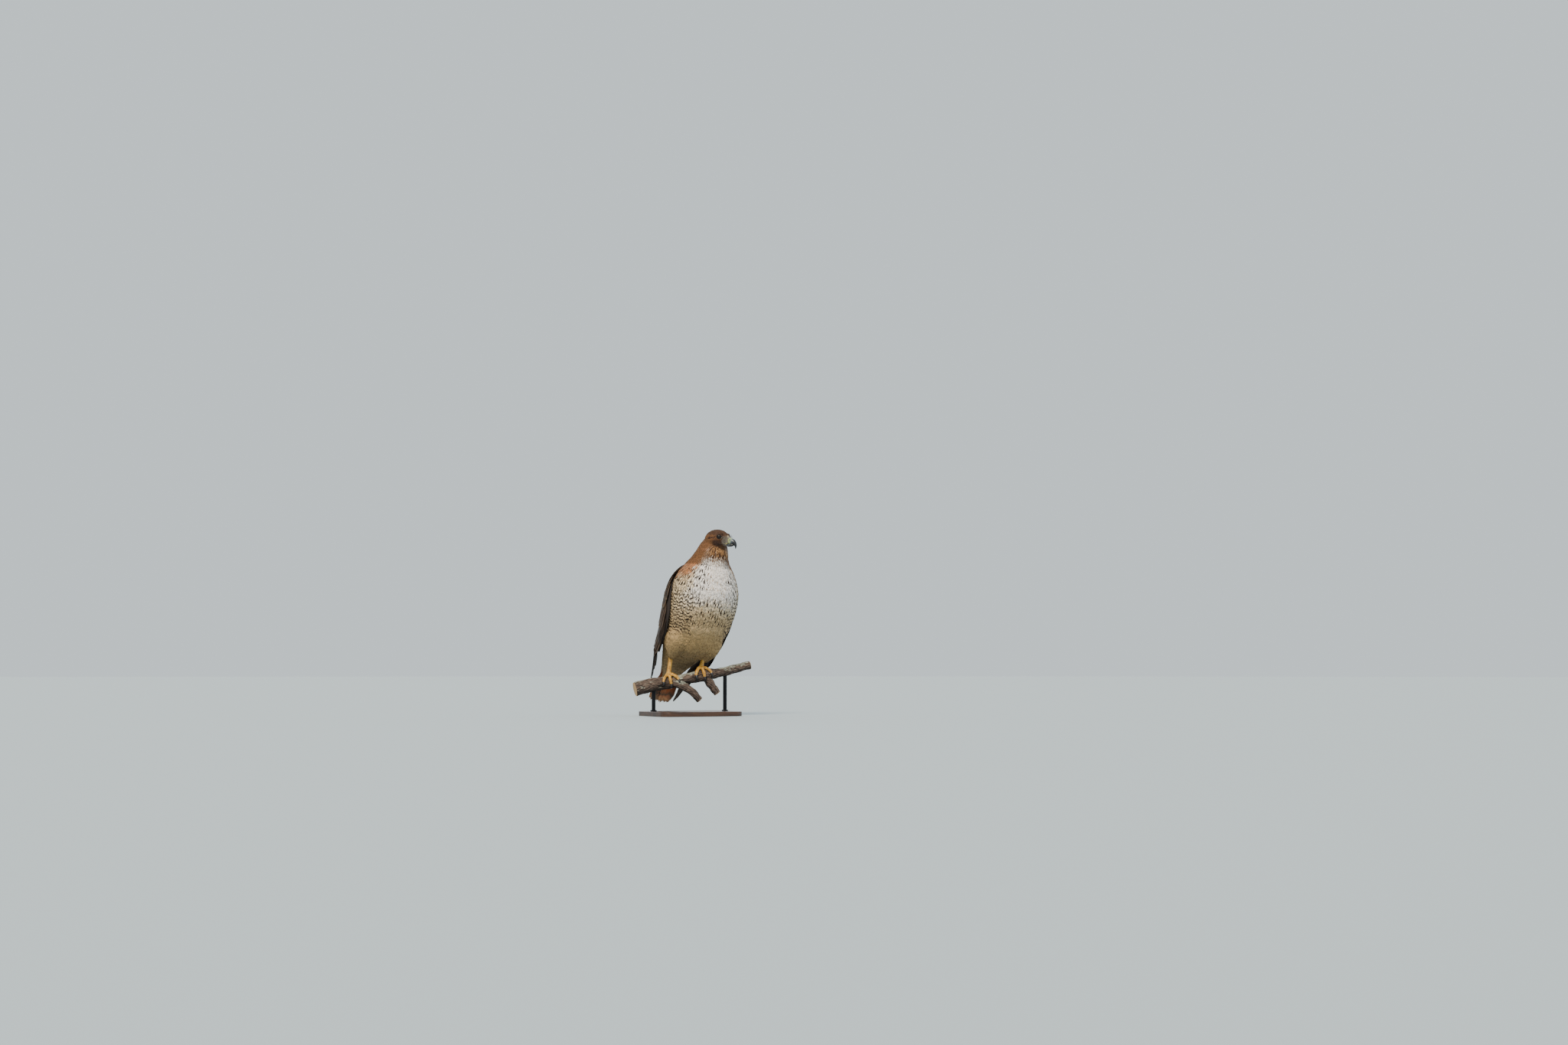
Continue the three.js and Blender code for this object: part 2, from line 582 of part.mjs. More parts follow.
// Perch
const heading = new THREE.Vector3(Math.cos(rad(PERCH_HEADING)), Math.sin(rad(PERCH_HEADING)), 0);
const limbSpan = LIMB[LIMB.length - 1].along - LIMB[0].along;
const limbKeys = curve(LIMB.map((s) => new THREE.Vector3(s.along, s.top - s.radius, s.radius)));
function limbAt(share) {
  const key = limbKeys.getPoint(share);
  const middle = heading.clone().multiplyScalar(key.x).setZ(key.y);
  const [before, after] = [Math.max(share - 0.01, 0), Math.min(share + 0.01, 1)];
  const next = limbKeys.getPoint(after).sub(limbKeys.getPoint(before));
  const along = heading.clone().multiplyScalar(next.x).setZ(next.y).normalize();
  const ahead = along.clone().cross(new THREE.Vector3(0, 0, 1)).normalize();
  return { middle, along, ahead, over: ahead.clone().cross(along), radius: key.z };
}
function limbShare(distance) {
  let share = 0;
  while (limbKeys.getPoint(share).x < distance) share += 0.002;
  return share;
}

// Round the limb, 0 degrees is on top and 90 in front. Slow waves round it and along it make it uneven.
function barkAt(share, degrees, over) {
  const { middle, ahead, over: up, radius } = limbAt(share);
  const turn = rad(degrees);
  const uneven = 1 + 0.035 * Math.sin(turn * 3 + share * 23) + 0.03 * Math.sin(share * 61 + turn);
  const reach = radius * uneven + over;
  return middle
    .addScaledVector(up, reach * Math.cos(turn))
    .addScaledVector(ahead, reach * Math.sin(turn));
}
const limbSolid = (grow) => loft((row, side) => barkAt(row, side * 360, grow)
  .addScaledVector(heading, (row * 2 - 1) * grow), 24, 12, feetFrame);

// A side branch, cut short: from the limb at a distance along it, towards a place ahead of it and below
function forkSolid(distance, points, radius) {
  const share = limbShare(distance);
  const { middle } = limbAt(share);
  const path = curve(points.map(([along, ahead, up]) => middle.clone()
    .addScaledVector(heading, along).add(at(0, ahead, up))));
  const taper = (row) => radius * (1.18 - 0.3 * row) * (1 + 0.05 * Math.sin(row * 19));
  return tubeAlong(path, taper, 8, 9, feetFrame);
}

// Feet and legs
const FEET = {
  right: { side: -1, share: limbShare(-FOOT_SPACING / 2) },
  left: { side: 1, share: limbShare(FOOT_SPACING / 2) },
};

function toePath(foot, toe, radius) {
  const steps = 6;
  const start = toe.turn > 0 ? 4 : -6;
  return curve(Array.from({ length: steps + 1 }, (_, i) => {
    const q = i / steps;
    const slip = foot.side * toe.slip * Math.sin((q * Math.PI) / 2);
    return barkAt(foot.share + slip / limbSpan, lerp(start, toe.turn, q), radius * (1.15 - 0.25 * q));
  }));
}

function toeSolid(foot, toe, grow) {
  const path = toePath(foot, toe, toe.radius);
  const knuckles = (row) => (1 - 0.2 * row) * (1 + 0.1 * Math.cos(row * 6 * Math.PI));
  const radius = (row) => toe.radius * knuckles(row) * (row > 0.98 ? 0.7 : 1) + grow;
  return tubeAlong(path, radius, 6, 6, feetFrame);
}

// A claw goes on from its toe, hooks round the perch and ends in a point
function clawSolid(foot, toe, grow) {
  const path = toePath(foot, toe, toe.radius);
  const [end, way] = [path.getPointAt(0.97), path.getTangentAt(1)];
  const share = foot.share + (foot.side * toe.slip) / limbSpan;
  const inwards = limbAt(share).middle.sub(end).normalize();
  const bend = curve([0, 0.35, 0.7, 1].map((q) => end.clone()
    .addScaledVector(way, toe.claw * q * (1 - 0.22 * q))
    .addScaledVector(inwards, toe.claw * (0.42 * q * q - 0.16 * Math.sin(q * Math.PI)))));
  return tubeAlong(bend, (row) => CLAW.root * (1 - row) ** 0.75 + CLAW.point + grow, 4, 5, feetFrame);
}

function legSolid(name, grow) {
  const ground = barkAt(FEET[name].share, 0, SHANK.over);
  const ankle = place(ANKLES[name]).applyMatrix4(new THREE.Matrix4().makeRotationY(rad(LEAN)));
  const bulge = at(0, 1.5, 0);
  const path = curve([ground, ground.clone().lerp(ankle, 0.5).add(bulge), ankle]);
  return loft((row, side) => {
    const flare = 1 + 0.35 * Math.max(0, 1 - row * 6) + 0.12 * row;
    const turn = side * 2 * Math.PI;
    const [out, deep] = [SHANK.side * flare + grow, SHANK.deep * flare + grow];
    return path.getPointAt(row).add(at(out * Math.cos(turn), deep * Math.sin(turn), 0));
  }, 8, 12, feetFrame);
}

function thighSolid(name, grow) {
  const { side } = FEET[name];
  const ankle = ANKLES[name];
  const end = THIGH_ENDS[name];
  const sections = [
    ...THIGH.map((s) => ({ ...s, left: side * s.out })),
    { ...THIGH_HEM, left: side * THIGH_HEM.out, up: end + THIGH_HEM.over },
    { ...THIGH_END, left: ankle.left, ahead: ankle.ahead / 2 + 1, up: end },
  ];
  const skin = surface(sections);
  return loft((row, turn) => skin(row, turn * 360, grow), 9, 14, posture);
}

// An upright rod from the base to the middle of the perch, its top cut to the bark
function rodSolid(distance) {
  const { middle } = limbAt(limbShare(distance));
  const foot = BASE.thick + GAP;
  const height = middle.z + PERCH_TOP - foot;
  const geometry = new THREE.CylinderGeometry(ROD_RADIUS, ROD_RADIUS, height, 20);
  const upright = new THREE.Matrix4().makeRotationX(Math.PI / 2);
  const stand = new THREE.Matrix4().makeTranslation(middle.x + FEET_X, middle.y, foot + height / 2);
  return cut(solidOf(geometry, stand, upright), limbSolid(GAP));
}

function baseSolid() {
  const [x, y, r] = [BASE.length / 2 - BASE.bevel, BASE.width / 2 - BASE.bevel, BASE.corner];
  const outline = new THREE.Shape();
  outline.absarc(x - r, y - r, r, 0, Math.PI / 2);
  outline.absarc(r - x, y - r, r, Math.PI / 2, Math.PI);
  outline.absarc(r - x, r - y, r, Math.PI, Math.PI * 1.5);
  outline.absarc(x - r, r - y, r, Math.PI * 1.5, Math.PI * 2);
  const geometry = new THREE.ExtrudeGeometry(outline, {
    depth: BASE.thick - 2 * BASE.bevel, curveSegments: 5,
    bevelThickness: BASE.bevel, bevelSize: BASE.bevel, bevelSegments: 1,
  });
  return solidOf(geometry, new THREE.Matrix4().makeTranslation(0, 0, BASE.bevel));
}

// The scene graph: one named mesh for each piece, in its own material
const hawk = new THREE.Group();
const COLOURS = {
  crown: ["#6e4a33", 0.85], breast: ["#cdbfae", 0.9], eye: ["#241812", 0.08], cere: ["#a9b07e", 0.4],
  horn: ["#2c3038", 0.28], wing: ["#4a382d", 0.8], tail: ["#9a5330", 0.8], thigh: ["#c9ae86", 0.9],
  leg: ["#cfa94a", 0.5], claw: ["#1d1c20", 0.25], bark: ["#6f6259", 0.9], stand: ["#35302c", 0.5],
};
const biggestOf = (shape) =>
  shape.decompose().reduce((best, one) => (one.volume() > best.volume() ? one : best));
function add(name, shape, look) {
  const mesh = biggestOf(shape).getMesh();
  const geometry = new THREE.BufferGeometry()
    .setAttribute("position", new THREE.BufferAttribute(mesh.vertProperties, 3))
    .setIndex(new THREE.BufferAttribute(mesh.triVerts, 1));
  const [color, roughness] = COLOURS[look];
  const made = new THREE.Mesh(geometry, new THREE.MeshStandardMaterial({ color, roughness }));
  made.name = name;
  hawk.add(made);
}

const [body, bodyGrown, limbGrown] = [bodySolid(0), bodySolid(GAP), limbSolid(GAP)];
add("torso", beyond(body, NECK_BASE, false), "breast");
add("neck", beyond(beyond(body, NECK_BASE, true), NECK_TOP, false), "crown");
add("head", cut(headSolid(), billSolid(GAP), lowerBillSolid(GAP)), "crown");
add("cere", cereSolid(), "cere");
add("bill_upper", hornSolid(), "horn");
add("bill_lower", lowerBillSolid(0), "horn");
add("tail", cut(tailSolid(), bodyGrown), "tail");

for (const [name, foot] of Object.entries(FEET)) {
  const { side } = foot;
  add(`eye_${name}`, eyeBall(side, EYE_RADIUS), "eye");
  const thighGrown = thighSolid(name, GAP);
  const wing = join([wingShell(side), ...wingFeathers(side)]);
  const outwards = LEFT.clone().multiplyScalar(side).transformDirection(posture);
  const midline = outwards.x * (FEET_X + side * GAP);
  const half = wing.trimByPlane(outwards.toArray(), midline + outwards.z * PERCH_TOP);
  add(`wing_${name}`, cut(half.simplify(FINEST), bodyGrown, thighGrown), "wing");
  add(`thigh_${name}`, cut(thighSolid(name, 0), bodyGrown), "thigh");
  add(`leg_${name}`, cut(legSolid(name, 0), thighGrown, bodyGrown, limbGrown), "leg");
  const toes = TOES.map((toe) => toeSolid(foot, toe, 0));
  const pad = ellipsoid(barkAt(foot.share, 0, PAD.over), PAD.size, [0, 0, 0], feetFrame, 8, 5);
  add(`foot_${name}`, cut(join([pad, ...toes]), limbGrown, legSolid(name, GAP)), "leg");
  TOES.forEach((toe) => {
    const claw = cut(clawSolid(foot, toe, 0), limbGrown, toeSolid(foot, toe, GAP));
    add(`claw_${name}_${toe.name}`, claw, "claw");
  });
}

add("perch_limb", limbSolid(0), "bark");
const grips = Object.values(FEET).flatMap((foot) => TOES.flatMap((toe) => [
  toeSolid(foot, toe, GAP), clawSolid(foot, toe, GAP)]));
FORKS.forEach(({ name, from, path, radius }) => {
  add(`perch_fork_${name}`, cut(forkSolid(from, path, radius), limbGrown, ...grips), "bark");
});
Object.entries(RODS).forEach(([name, along]) => add(`stand_rod_${name}`, rodSolid(along), "stand"));
add("stand_base", baseSolid(), "stand");

export default hawk;
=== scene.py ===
# %% [markdown]
# # A red-tailed hawk on its perch
# The solids of the hawk, its perch and its stand come in from the frame. They hold every size and place, so
# everything made here is fitted to them: a skin, some thousands of feathers, bare parts, bark and a base.
# Feathers are many small things, so they are made as meshes from arrays. The bare parts, the eyes and the
# stand are few, so they are modelled from primitives.

# %% Load the frame
from functools import partial
from math import asin, atan, atan2, cos, degrees, pi, radians, sin

import bpy
import numpy as np
from mathutils import Matrix, Vector, noise
from mathutils.bvhtree import BVHTree


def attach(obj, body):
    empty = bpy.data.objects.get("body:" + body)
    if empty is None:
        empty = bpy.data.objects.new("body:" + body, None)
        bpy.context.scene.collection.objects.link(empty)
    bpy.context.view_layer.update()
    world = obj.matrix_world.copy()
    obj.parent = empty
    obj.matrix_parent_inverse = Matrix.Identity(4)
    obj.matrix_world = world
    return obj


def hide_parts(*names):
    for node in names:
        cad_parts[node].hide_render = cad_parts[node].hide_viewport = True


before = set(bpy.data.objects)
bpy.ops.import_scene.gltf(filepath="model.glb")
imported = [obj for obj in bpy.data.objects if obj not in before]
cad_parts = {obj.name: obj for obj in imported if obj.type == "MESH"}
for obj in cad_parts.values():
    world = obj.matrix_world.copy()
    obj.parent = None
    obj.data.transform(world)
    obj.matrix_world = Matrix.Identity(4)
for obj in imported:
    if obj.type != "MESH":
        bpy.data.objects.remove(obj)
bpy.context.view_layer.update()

MM = 0.001

# %% [markdown]
# ## Camera
# The bird is small in the photograph, seen from a little to its right and from its own height. The camera
# stands 5 metres off at that angle. Its width of view at the bird and the place of the feet in the picture
# give its lens and its aim, so the model falls where the photograph's bird is.

# %% Camera
PHOTO_WIDTH, PHOTO_HEIGHT = 2048, 1365
FEET_IN_PHOTO = (896.6, 878.7)  # pixels, to the middle of the perch's top between the feet
FEET = Vector((-0.012, 0, 0.112))
VIEW_AZIMUTH = -25
VIEW_DISTANCE = 5.0
VIEW_WIDTH = 4.096  # metres across the picture at the bird, from 2 mm a pixel
EYE_LEVEL = 0.12

flat_way = Vector((sin(radians(VIEW_AZIMUTH)), -cos(radians(VIEW_AZIMUTH)), 0))
stand_point = FEET + flat_way * VIEW_DISTANCE
stand_point.z = EYE_LEVEL
pixel = VIEW_WIDTH / PHOTO_WIDTH / VIEW_DISTANCE
right_of_middle = (FEET_IN_PHOTO[0] - PHOTO_WIDTH / 2) * pixel
above_middle = (PHOTO_HEIGHT / 2 - FEET_IN_PHOTO[1]) * pixel
to_feet = (FEET - stand_point).normalized()
heading = atan2(to_feet.x, to_feet.y) - atan(right_of_middle)
climb = asin(to_feet.z) - atan(above_middle)
look = Vector((sin(heading) * cos(climb), cos(heading) * cos(climb), sin(climb)))
bpy.ops.object.camera_add(location=stand_point, rotation=look.to_track_quat("-Z", "Y").to_euler())
camera = bpy.context.object
camera.data.sensor_width = 36
camera.data.lens = camera.data.sensor_width * VIEW_DISTANCE / VIEW_WIDTH
camera.data.clip_end = 200
bpy.context.scene.camera = camera
print("lens", round(camera.data.lens, 2), "mm, aim", round(degrees(heading), 2), round(degrees(climb), 2))

# %% [markdown]
# ## Small helpers
# A colour is listed as an sRGB value, and shaders work in linear light, so one function turns a hex code into
# linear numbers. One more adds a shader node with its settings and its links to other nodes.

# %% Colours and nodes
def linear(code):
    channels = [int(code[i:i + 2], 16) / 255 for i in (1, 3, 5)]
    return [c / 12.92 if c <= 0.04045 else ((c + 0.055) / 1.055) ** 2.4 for c in channels]


def rgba(code):
    return (*linear(code), 1)


def wire(node, links):
    """Sets a node's inputs, by name or number, to values or to the outputs of other nodes."""
    for key, value in links.items():
        if isinstance(value, bpy.types.NodeSocket):
            node.id_data.links.new(value, node.inputs[key])
        else:
            node.inputs[key].default_value = value


def add(tree, kind, links=None, stops=(), out=0, **settings):
    """Adds a shader node and returns one of its outputs, or all of them if out is None.

    Settings are its attributes, links are its inputs, and stops are a ramp's places and colours.
    """
    made = tree.nodes.new("ShaderNode" + kind)
    for name, value in settings.items():
        setattr(made, name, value)
    wire(made, links or {})
    while stops and len(made.color_ramp.elements) < len(stops):
        made.color_ramp.elements.new(0.5)
    for number, (place, code) in enumerate(stops):
        made.color_ramp.elements[number].position = place
        made.color_ramp.elements[number].color = rgba(code)
    return made.outputs if out is None else made.outputs[out]


def surface(name):
    """A new material, the helper that adds nodes to it, and its Principled shader."""
    made = bpy.data.materials.new(name)
    made.use_nodes = True
    return made, partial(add, made.node_tree), made.node_tree.nodes["Principled BSDF"]

# %% [markdown]
# ## The forms that carry everything
# The body, the folded wings and the perch are each a run of oval sections along a curve. The same named
# sections as in the solids are repeated here, in millimetres, so a feather can be placed by how far down the
# body it is and how far round. Every place goes from the bird's own frame, which leans on the slanting
# perch, to the model's frame.

# %% Curves and frames
def spline(keys, share):
    """A smooth curve through evenly spaced keys, for places and sizes alike."""
    keys = np.asarray(keys, float)
    ends = np.vstack([2 * keys[0] - keys[1], keys, 2 * keys[-1] - keys[-2]])
    place = np.clip(share, 0, 1) * (len(keys) - 1)
    i = np.minimum(place.astype(int), len(keys) - 2)
    w = (place - i)[..., None]
    before, start, end, after = (ends[i + k] for k in range(4))
    t0, t1 = (end - before) / 2, (after - start) / 2
    return start + t0 * w + (3 * (end - start) - 2 * t0 - t1) * w**2 + (2 * (start - end) + t0 + t1) * w**3


def unit(vectors):
    return vectors / np.maximum(np.linalg.norm(vectors, axis=-1, keepdims=True), 1e-12)


def way_along(keys, share, step=0.01):
    """The way along the smooth curve through keys."""
    return unit(spline(keys, np.minimum(share + step, 1)) - spline(keys, np.maximum(share - step, 0)))


def run_of(path):
    """How far along a path each of its points is."""
    return np.concatenate([[0], np.cumsum(np.linalg.norm(np.diff(path, axis=0), axis=1))])


def nearest_on(path, points):
    """The number of the path's point that is nearest to each place."""
    nearest = np.empty(len(points), int)
    for start in range(0, len(points), AT_ONCE):
        part = points[start:start + AT_ONCE]
        nearest[start:start + AT_ONCE] = ((part[:, None] - path) ** 2).sum(-1).argmin(1)
    return nearest


def smooth(low, high, x):
    t = np.clip((x - low) / (high - low), 0, 1)
    return t * t * (3 - 2 * t)


AT_ONCE = 20000  # places compared with a path in one step, to spare memory
SIDE_NAMES = {1: "left", -1: "right"}
LEAN = 7.5
HEAD_TURN = 31
HEAD_AT = (3, -91, 347)
turn_lean = Matrix.Rotation(radians(LEAN), 4, "Y")
posture = Matrix.Translation((-12, 0, 112)) @ turn_lean
head_frame = posture @ Matrix.Translation(HEAD_AT) @ turn_lean.inverted()
head_frame = head_frame @ Matrix.Rotation(radians(HEAD_TURN), 4, "Z")


def placed(matrix, points):
    """Points in millimetres in a frame of the bird, as metres in the model's frame."""
    m = np.array(matrix)
    return (points @ m[:3, :3].T + m[:3, 3]) * MM


def back_in(matrix, points):
    """Points in metres in the model's frame, as millimetres in a frame of the bird."""
    m = np.array(matrix.inverted())
    return points / MM @ m[:3, :3].T + m[:3, 3]


def turned(matrix, vectors):
    return vectors @ np.array(matrix)[:3, :3].T


print("head at", [round(v, 4) for v in placed(head_frame, np.zeros((1, 3)))[0]])

# %% Body and wing sections
# left, ahead, up, then half width, depth in front, depth behind
BODY = [
    (-8, -98, -22, 20, 7, 6), (-6, -84, 0, 30, 15, 13), (-3, -64, 28, 43, 29, 27), (0, -37, 62, 60, 50, 44),
    (2, -4, 98, 78, 72, 57), (4, 22, 142, 90, 86, 66), (4, 38, 190, 93, 92, 71), (4, 42, 230, 89, 86, 64),
    (4, 49, 268, 71, 75, 52), (3, 60, 300, 48, 54, 43), (3, 73, 328, 37, 38, 39), (3, 84, 350, 24, 24, 28),
]
WRAP = [
    (1, 48, 276, 56, 50, 50), (1, 42, 240, 86, 70, 68), (1, 36, 200, 98, 80, 76), (0, 26, 150, 98, 80, 76),
    (-1, 4, 104, 92, 74, 69), (-1, -20, 70, 85, 62, 59), (-1, -40, 38, 79, 52, 47), (-4, -68, 2, 64, 38, 34),
    (-8, -94, -36, 50, 26, 25), (-11, -118, -75, 40, 20, 19),
]
WING_EDGE = {  # degrees round the body to the wing's front edge, from shoulder to tip
    "right": (112, 95, 81, 71, 67, 70, 74, 84, 92, 96),
    "left": (112, 95, 81, 73, 68, 66, 68, 77, 88, 94),
}


def wrapped(sections):
    """A surface through sections: place(share along, degrees round from the front, height over it)."""
    table = np.array(sections, float)
    middles = table[:, :3] * (1, -1, 1)

    def place(share, angle, over=0.0):
        share, angle, over = np.broadcast_arrays(share, angle, over)
        along = way_along(middles, share, 1e-4)
        across = unit(np.array([1.0, 0, 0]) - along * along[..., :1])
        ahead = np.cross(across, along) * np.sign(along[..., 2:])
        size = spline(table[:, 3:], share)
        s, c = np.sin(np.radians(angle)), np.cos(np.radians(angle))
        deep = np.where(c > 0, size[..., 1], size[..., 2]) + over
        out = size[..., 0] + over
        return spline(middles, share) + across * (out * s)[..., None] + ahead * (deep * c)[..., None]

    return place


body_at = wrapped(BODY)
wrap_at = wrapped(WRAP)
print("breastbone", placed(posture, body_at(np.array([0.55]), 0.0))[0].round(3))

# %% [markdown]
# ## The skin under the feathers
# A real bird's skin is one piece from bill to tail. The torso, neck, head and thighs are parted by thin
# cuts in the solids, so copies of them are joined, grown a little until they overlap, and remeshed into one
# closed surface with no seam. A bony brow over each eye, two stretched spheres, is joined in. All of it is
# then drawn in by the depth of the plumage, which is deepest on the body and shallow on the face.

# %% Objects and meshes
def deselect():
    if bpy.context.object and bpy.context.object.mode != "OBJECT":
        bpy.ops.object.mode_set(mode="OBJECT")
    bpy.ops.object.select_all(action="DESELECT")


def edited(*steps):
    """Runs operators of edit mode, each on the whole of the active object."""
    bpy.ops.object.mode_set(mode="EDIT")
    for operator, settings in steps:
        bpy.ops.mesh.select_all(action="SELECT")
        operator(**settings)
    bpy.ops.object.mode_set(mode="OBJECT")


def faces_out():
    edited((bpy.ops.mesh.normals_make_consistent, {"inside": False}))


def joined(first, *others):
    """Joins objects into the first one, and leaves it active."""
    deselect()
    for piece in (first, *others):
        piece.select_set(True)
    bpy.context.view_layer.objects.active = first
    if others:
        bpy.ops.object.join()
    return first


def modified(piece, kind, **settings):
    """Adds a modifier with its settings and applies it."""
    bpy.context.view_layer.objects.active = piece
    bpy.ops.object.modifier_add(type=kind)
    modifier = piece.modifiers[-1]
    for name, value in settings.items():
        setattr(modifier, name, value)
    bpy.ops.object.modifier_apply(modifier=modifier.name)


def remeshed(piece, voxel, passes, grow=0.0):
    """One closed, evenly faced surface: grown so that near pieces meet, remeshed, then smoothed."""
    if grow:
        modified(piece, "DISPLACE", strength=grow * MM, mid_level=0)
    modified(piece, "REMESH", mode="VOXEL", voxel_size=voxel * MM)
    modified(piece, "SMOOTH", factor=0.5, iterations=passes)
    bpy.ops.object.shade_smooth()
    return piece


def finished(piece, material, slot, *nodes):
    """Gives a piece its material and hides the solids that it stands for; the slot is not used."""
    piece.data.materials.append(material)
    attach(piece, "root")
    if nodes:
        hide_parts(*nodes)
    print(piece.name, len(piece.data.vertices), "vertices")


def vectors_of(items, field):
    flat = np.empty(len(items) * 3, np.float32)
    items.foreach_get(field, flat)
    return flat.reshape(-1, 3).astype(float)


def points_of(mesh):
    return vectors_of(mesh.vertices, "co")


def normals_of(mesh):
    return vectors_of(mesh.vertex_normals, "vector")


def set_points(mesh, points):
    mesh.vertices.foreach_set("co", points.astype(np.float32).ravel())
    mesh.update()

# %% Skin
FLESH = ("torso", "neck", "head", "thigh_right", "thigh_left")
GROWN = 0.4  # mm, so that the solids meet
BODY_DEPTH, HEAD_DEPTH = 2.6, 1.3  # mm of plumage over the skin
# The bony ridge over each eye, in the head's frame
BROW_AT, BROW_SIZE, BROW_TILT, BROW_TURN = (22.8, -13.5, 10.3), (5.6, 10.6, 3.3), -20, -27
copies = []
for solid in FLESH:
    piece = bpy.data.objects.new("skin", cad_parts[solid].data.copy())
    piece.data.materials.clear()
    bpy.context.collection.objects.link(piece)
    copies.append(piece)
skin = joined(*copies)
skin.data.name = "skin"
edited((bpy.ops.mesh.remove_doubles, {"threshold": 1e-5}))
for side in (-1, 1):
    bpy.ops.mesh.primitive_uv_sphere_add(segments=48, ring_count=24, radius=1)
    brow = bpy.context.object
    turn = Matrix.Rotation(radians(BROW_TILT), 4, "X") @ Matrix.Rotation(radians(BROW_TURN * side), 4, "Z")
    oval = turned(turn, points_of(brow.data) * BROW_SIZE) + np.array(BROW_AT) * (side, 1, 1)
    set_points(brow.data, placed(head_frame, oval))
    joined(skin, brow)
remeshed(skin, voxel=1.7, passes=5, grow=GROWN)
points, normals = points_of(skin.data), normals_of(skin.data)
from_head = np.linalg.norm(back_in(head_frame, points), axis=1)
depth = HEAD_DEPTH + (BODY_DEPTH - HEAD_DEPTH) * smooth(36, 75, from_head) + GROWN
set_points(skin.data, points - normals * depth[:, None] * MM)
print("skin", len(skin.data.vertices), "vertices")

# %% [markdown]
# ## Where a place is on the bird
# Colour, size and lie of a feather all follow from where it grows. So each place on the skin is told as how
# far along and round the body it is, and where it is on the head. The feathers of the body lie down its
# length, those of the head lie back from the bill and part round the eyes, and those of the thighs hang.

# %% Places on the bird
SPINE_STEPS = 240
EYE = np.array([17.6, -13.5, 4.5])  # in the head's frame, on the bird's left: left, back, up
spine_shares = np.linspace(0, 1, SPINE_STEPS)
spine_points = spline(np.array(BODY)[:, :3] * (1, -1, 1), spine_shares)
spine_ways = unit(np.gradient(spine_points, axis=0))
spine_run = run_of(spine_points)


def whereabouts(world):
    """For places in metres: share and run along the spine, degrees round it, height, head place and so on."""
    body = back_in(posture, world)
    nearest = nearest_on(spine_points, body)
    share = spine_shares[nearest]
    front, left = body_at(share, 0.0) - spine_points[nearest], body_at(share, 90.0) - spine_points[nearest]
    out = body - spine_points[nearest]
    run = spine_run[nearest] + (out * spine_ways[nearest]).sum(1)
    angle = np.degrees(np.arctan2((out * unit(left)).sum(1), (out * unit(front)).sum(1)))
    reach = np.linalg.norm(body_at(share, angle) - spine_points[nearest], axis=1)
    beyond = np.linalg.norm(out, axis=1) - reach
    head = back_in(head_frame, world)
    return {
        "share": share, "run": run, "angle": angle, "up": body[:, 2], "body": body, "head": head,
        "is_head": smooth(46, 34, np.linalg.norm(head * (1, 1, 0.9), axis=1)) * smooth(318, 332, body[:, 2]),
        "is_thigh": smooth(-3.4, -1.6, beyond) * smooth(150, 128, body[:, 2]) * (body[:, 1] < 40),
    }

# %% Lie of the feathers
def lie_of(where, normal):
    """The way that the feathers lie, along the skin."""
    step = 0.01
    share, angle = where["share"], where["angle"]
    down = body_at(np.maximum(share - step, 0), angle) - body_at(np.maximum(share, step), angle)
    down = turned(posture, unit(down))
    hang = turned(posture, np.array([0, 0.25, -1.0]))
    head = where["head"]
    back = np.stack([0.012 * head[:, 0], np.ones(len(head)), 0.012 * head[:, 2] - 0.35], 1)
    eye = EYE * np.stack([np.sign(head[:, 0]), np.ones(len(head)), np.ones(len(head))], 1)
    from_eye = head - eye
    near = smooth(24, 12, np.linalg.norm(from_eye, axis=1))
    away = unit(from_eye)
    into = np.minimum((unit(back) * away).sum(1), 0) * near
    back = turned(head_frame, unit(back) - away * into[:, None] * 0.75)
    way = down + (hang - down) * where["is_thigh"][:, None]
    way = way + (unit(back) - way) * where["is_head"][:, None]
    return unit(way - normal * (way * normal).sum(1, keepdims=True))


print("spine", SPINE_STEPS, "steps")

# %% [markdown]
# ## Markings
# Skin and feathers take their colours from one function, so that a gap between feathers never shows a wrong
# colour. Each feather has a ground colour, a mark in a second colour down its shaft, crossbars of that
# colour, and a pale edge. The numbers are read off the living bird: a white bib, streaks beside it, a
# belt of dark drops, barred flanks, plain buff below, a rusty shoulder and a mottled brown head.

# %% Palette
PALE = {
    "white": "#efe7df", "cream": "#dcc6a2", "buff": "#b89c74", "tan": "#a88a5e", "shade": "#86704f",
    "rust": "#a96f47", "gold": "#b48556", "nape": "#7c5336", "crown": "#4b342a", "cheek": "#3c2721",
    "lores": "#857b70", "throat": "#533826", "chinstripe": "#cbb5a6", "back": "#4a3a31", "vent": "#c0a57c",
}
DARK = {
    "black": "#241712", "brown": "#3d261b", "straw": "#a98250", "soot": "#2c201b", "russet": "#4e2d1c",
}
PALE, DARK = ({name: np.array(linear(code)) for name, code in table.items()} for table in (PALE, DARK))

# %% A look
class Look:
    """Ground and mark colours, and the strengths of streak, bars and edge, one row for each place."""

    def __init__(self, count):
        self.ground = np.tile(PALE["buff"], (count, 1))
        self.mark = np.tile(DARK["black"], (count, 1))
        self.pattern = np.zeros((count, 3))  # streak's half width, crossbars, pale edge

    def blend(self, weight, ground=None, mark=None, pattern=None):
        w = weight[:, None]
        if ground:
            self.ground += (PALE[ground] - self.ground) * w
        if mark:
            self.mark += (DARK[mark] - self.mark) * w
        if pattern:
            self.pattern += (np.array(pattern) - self.pattern) * w

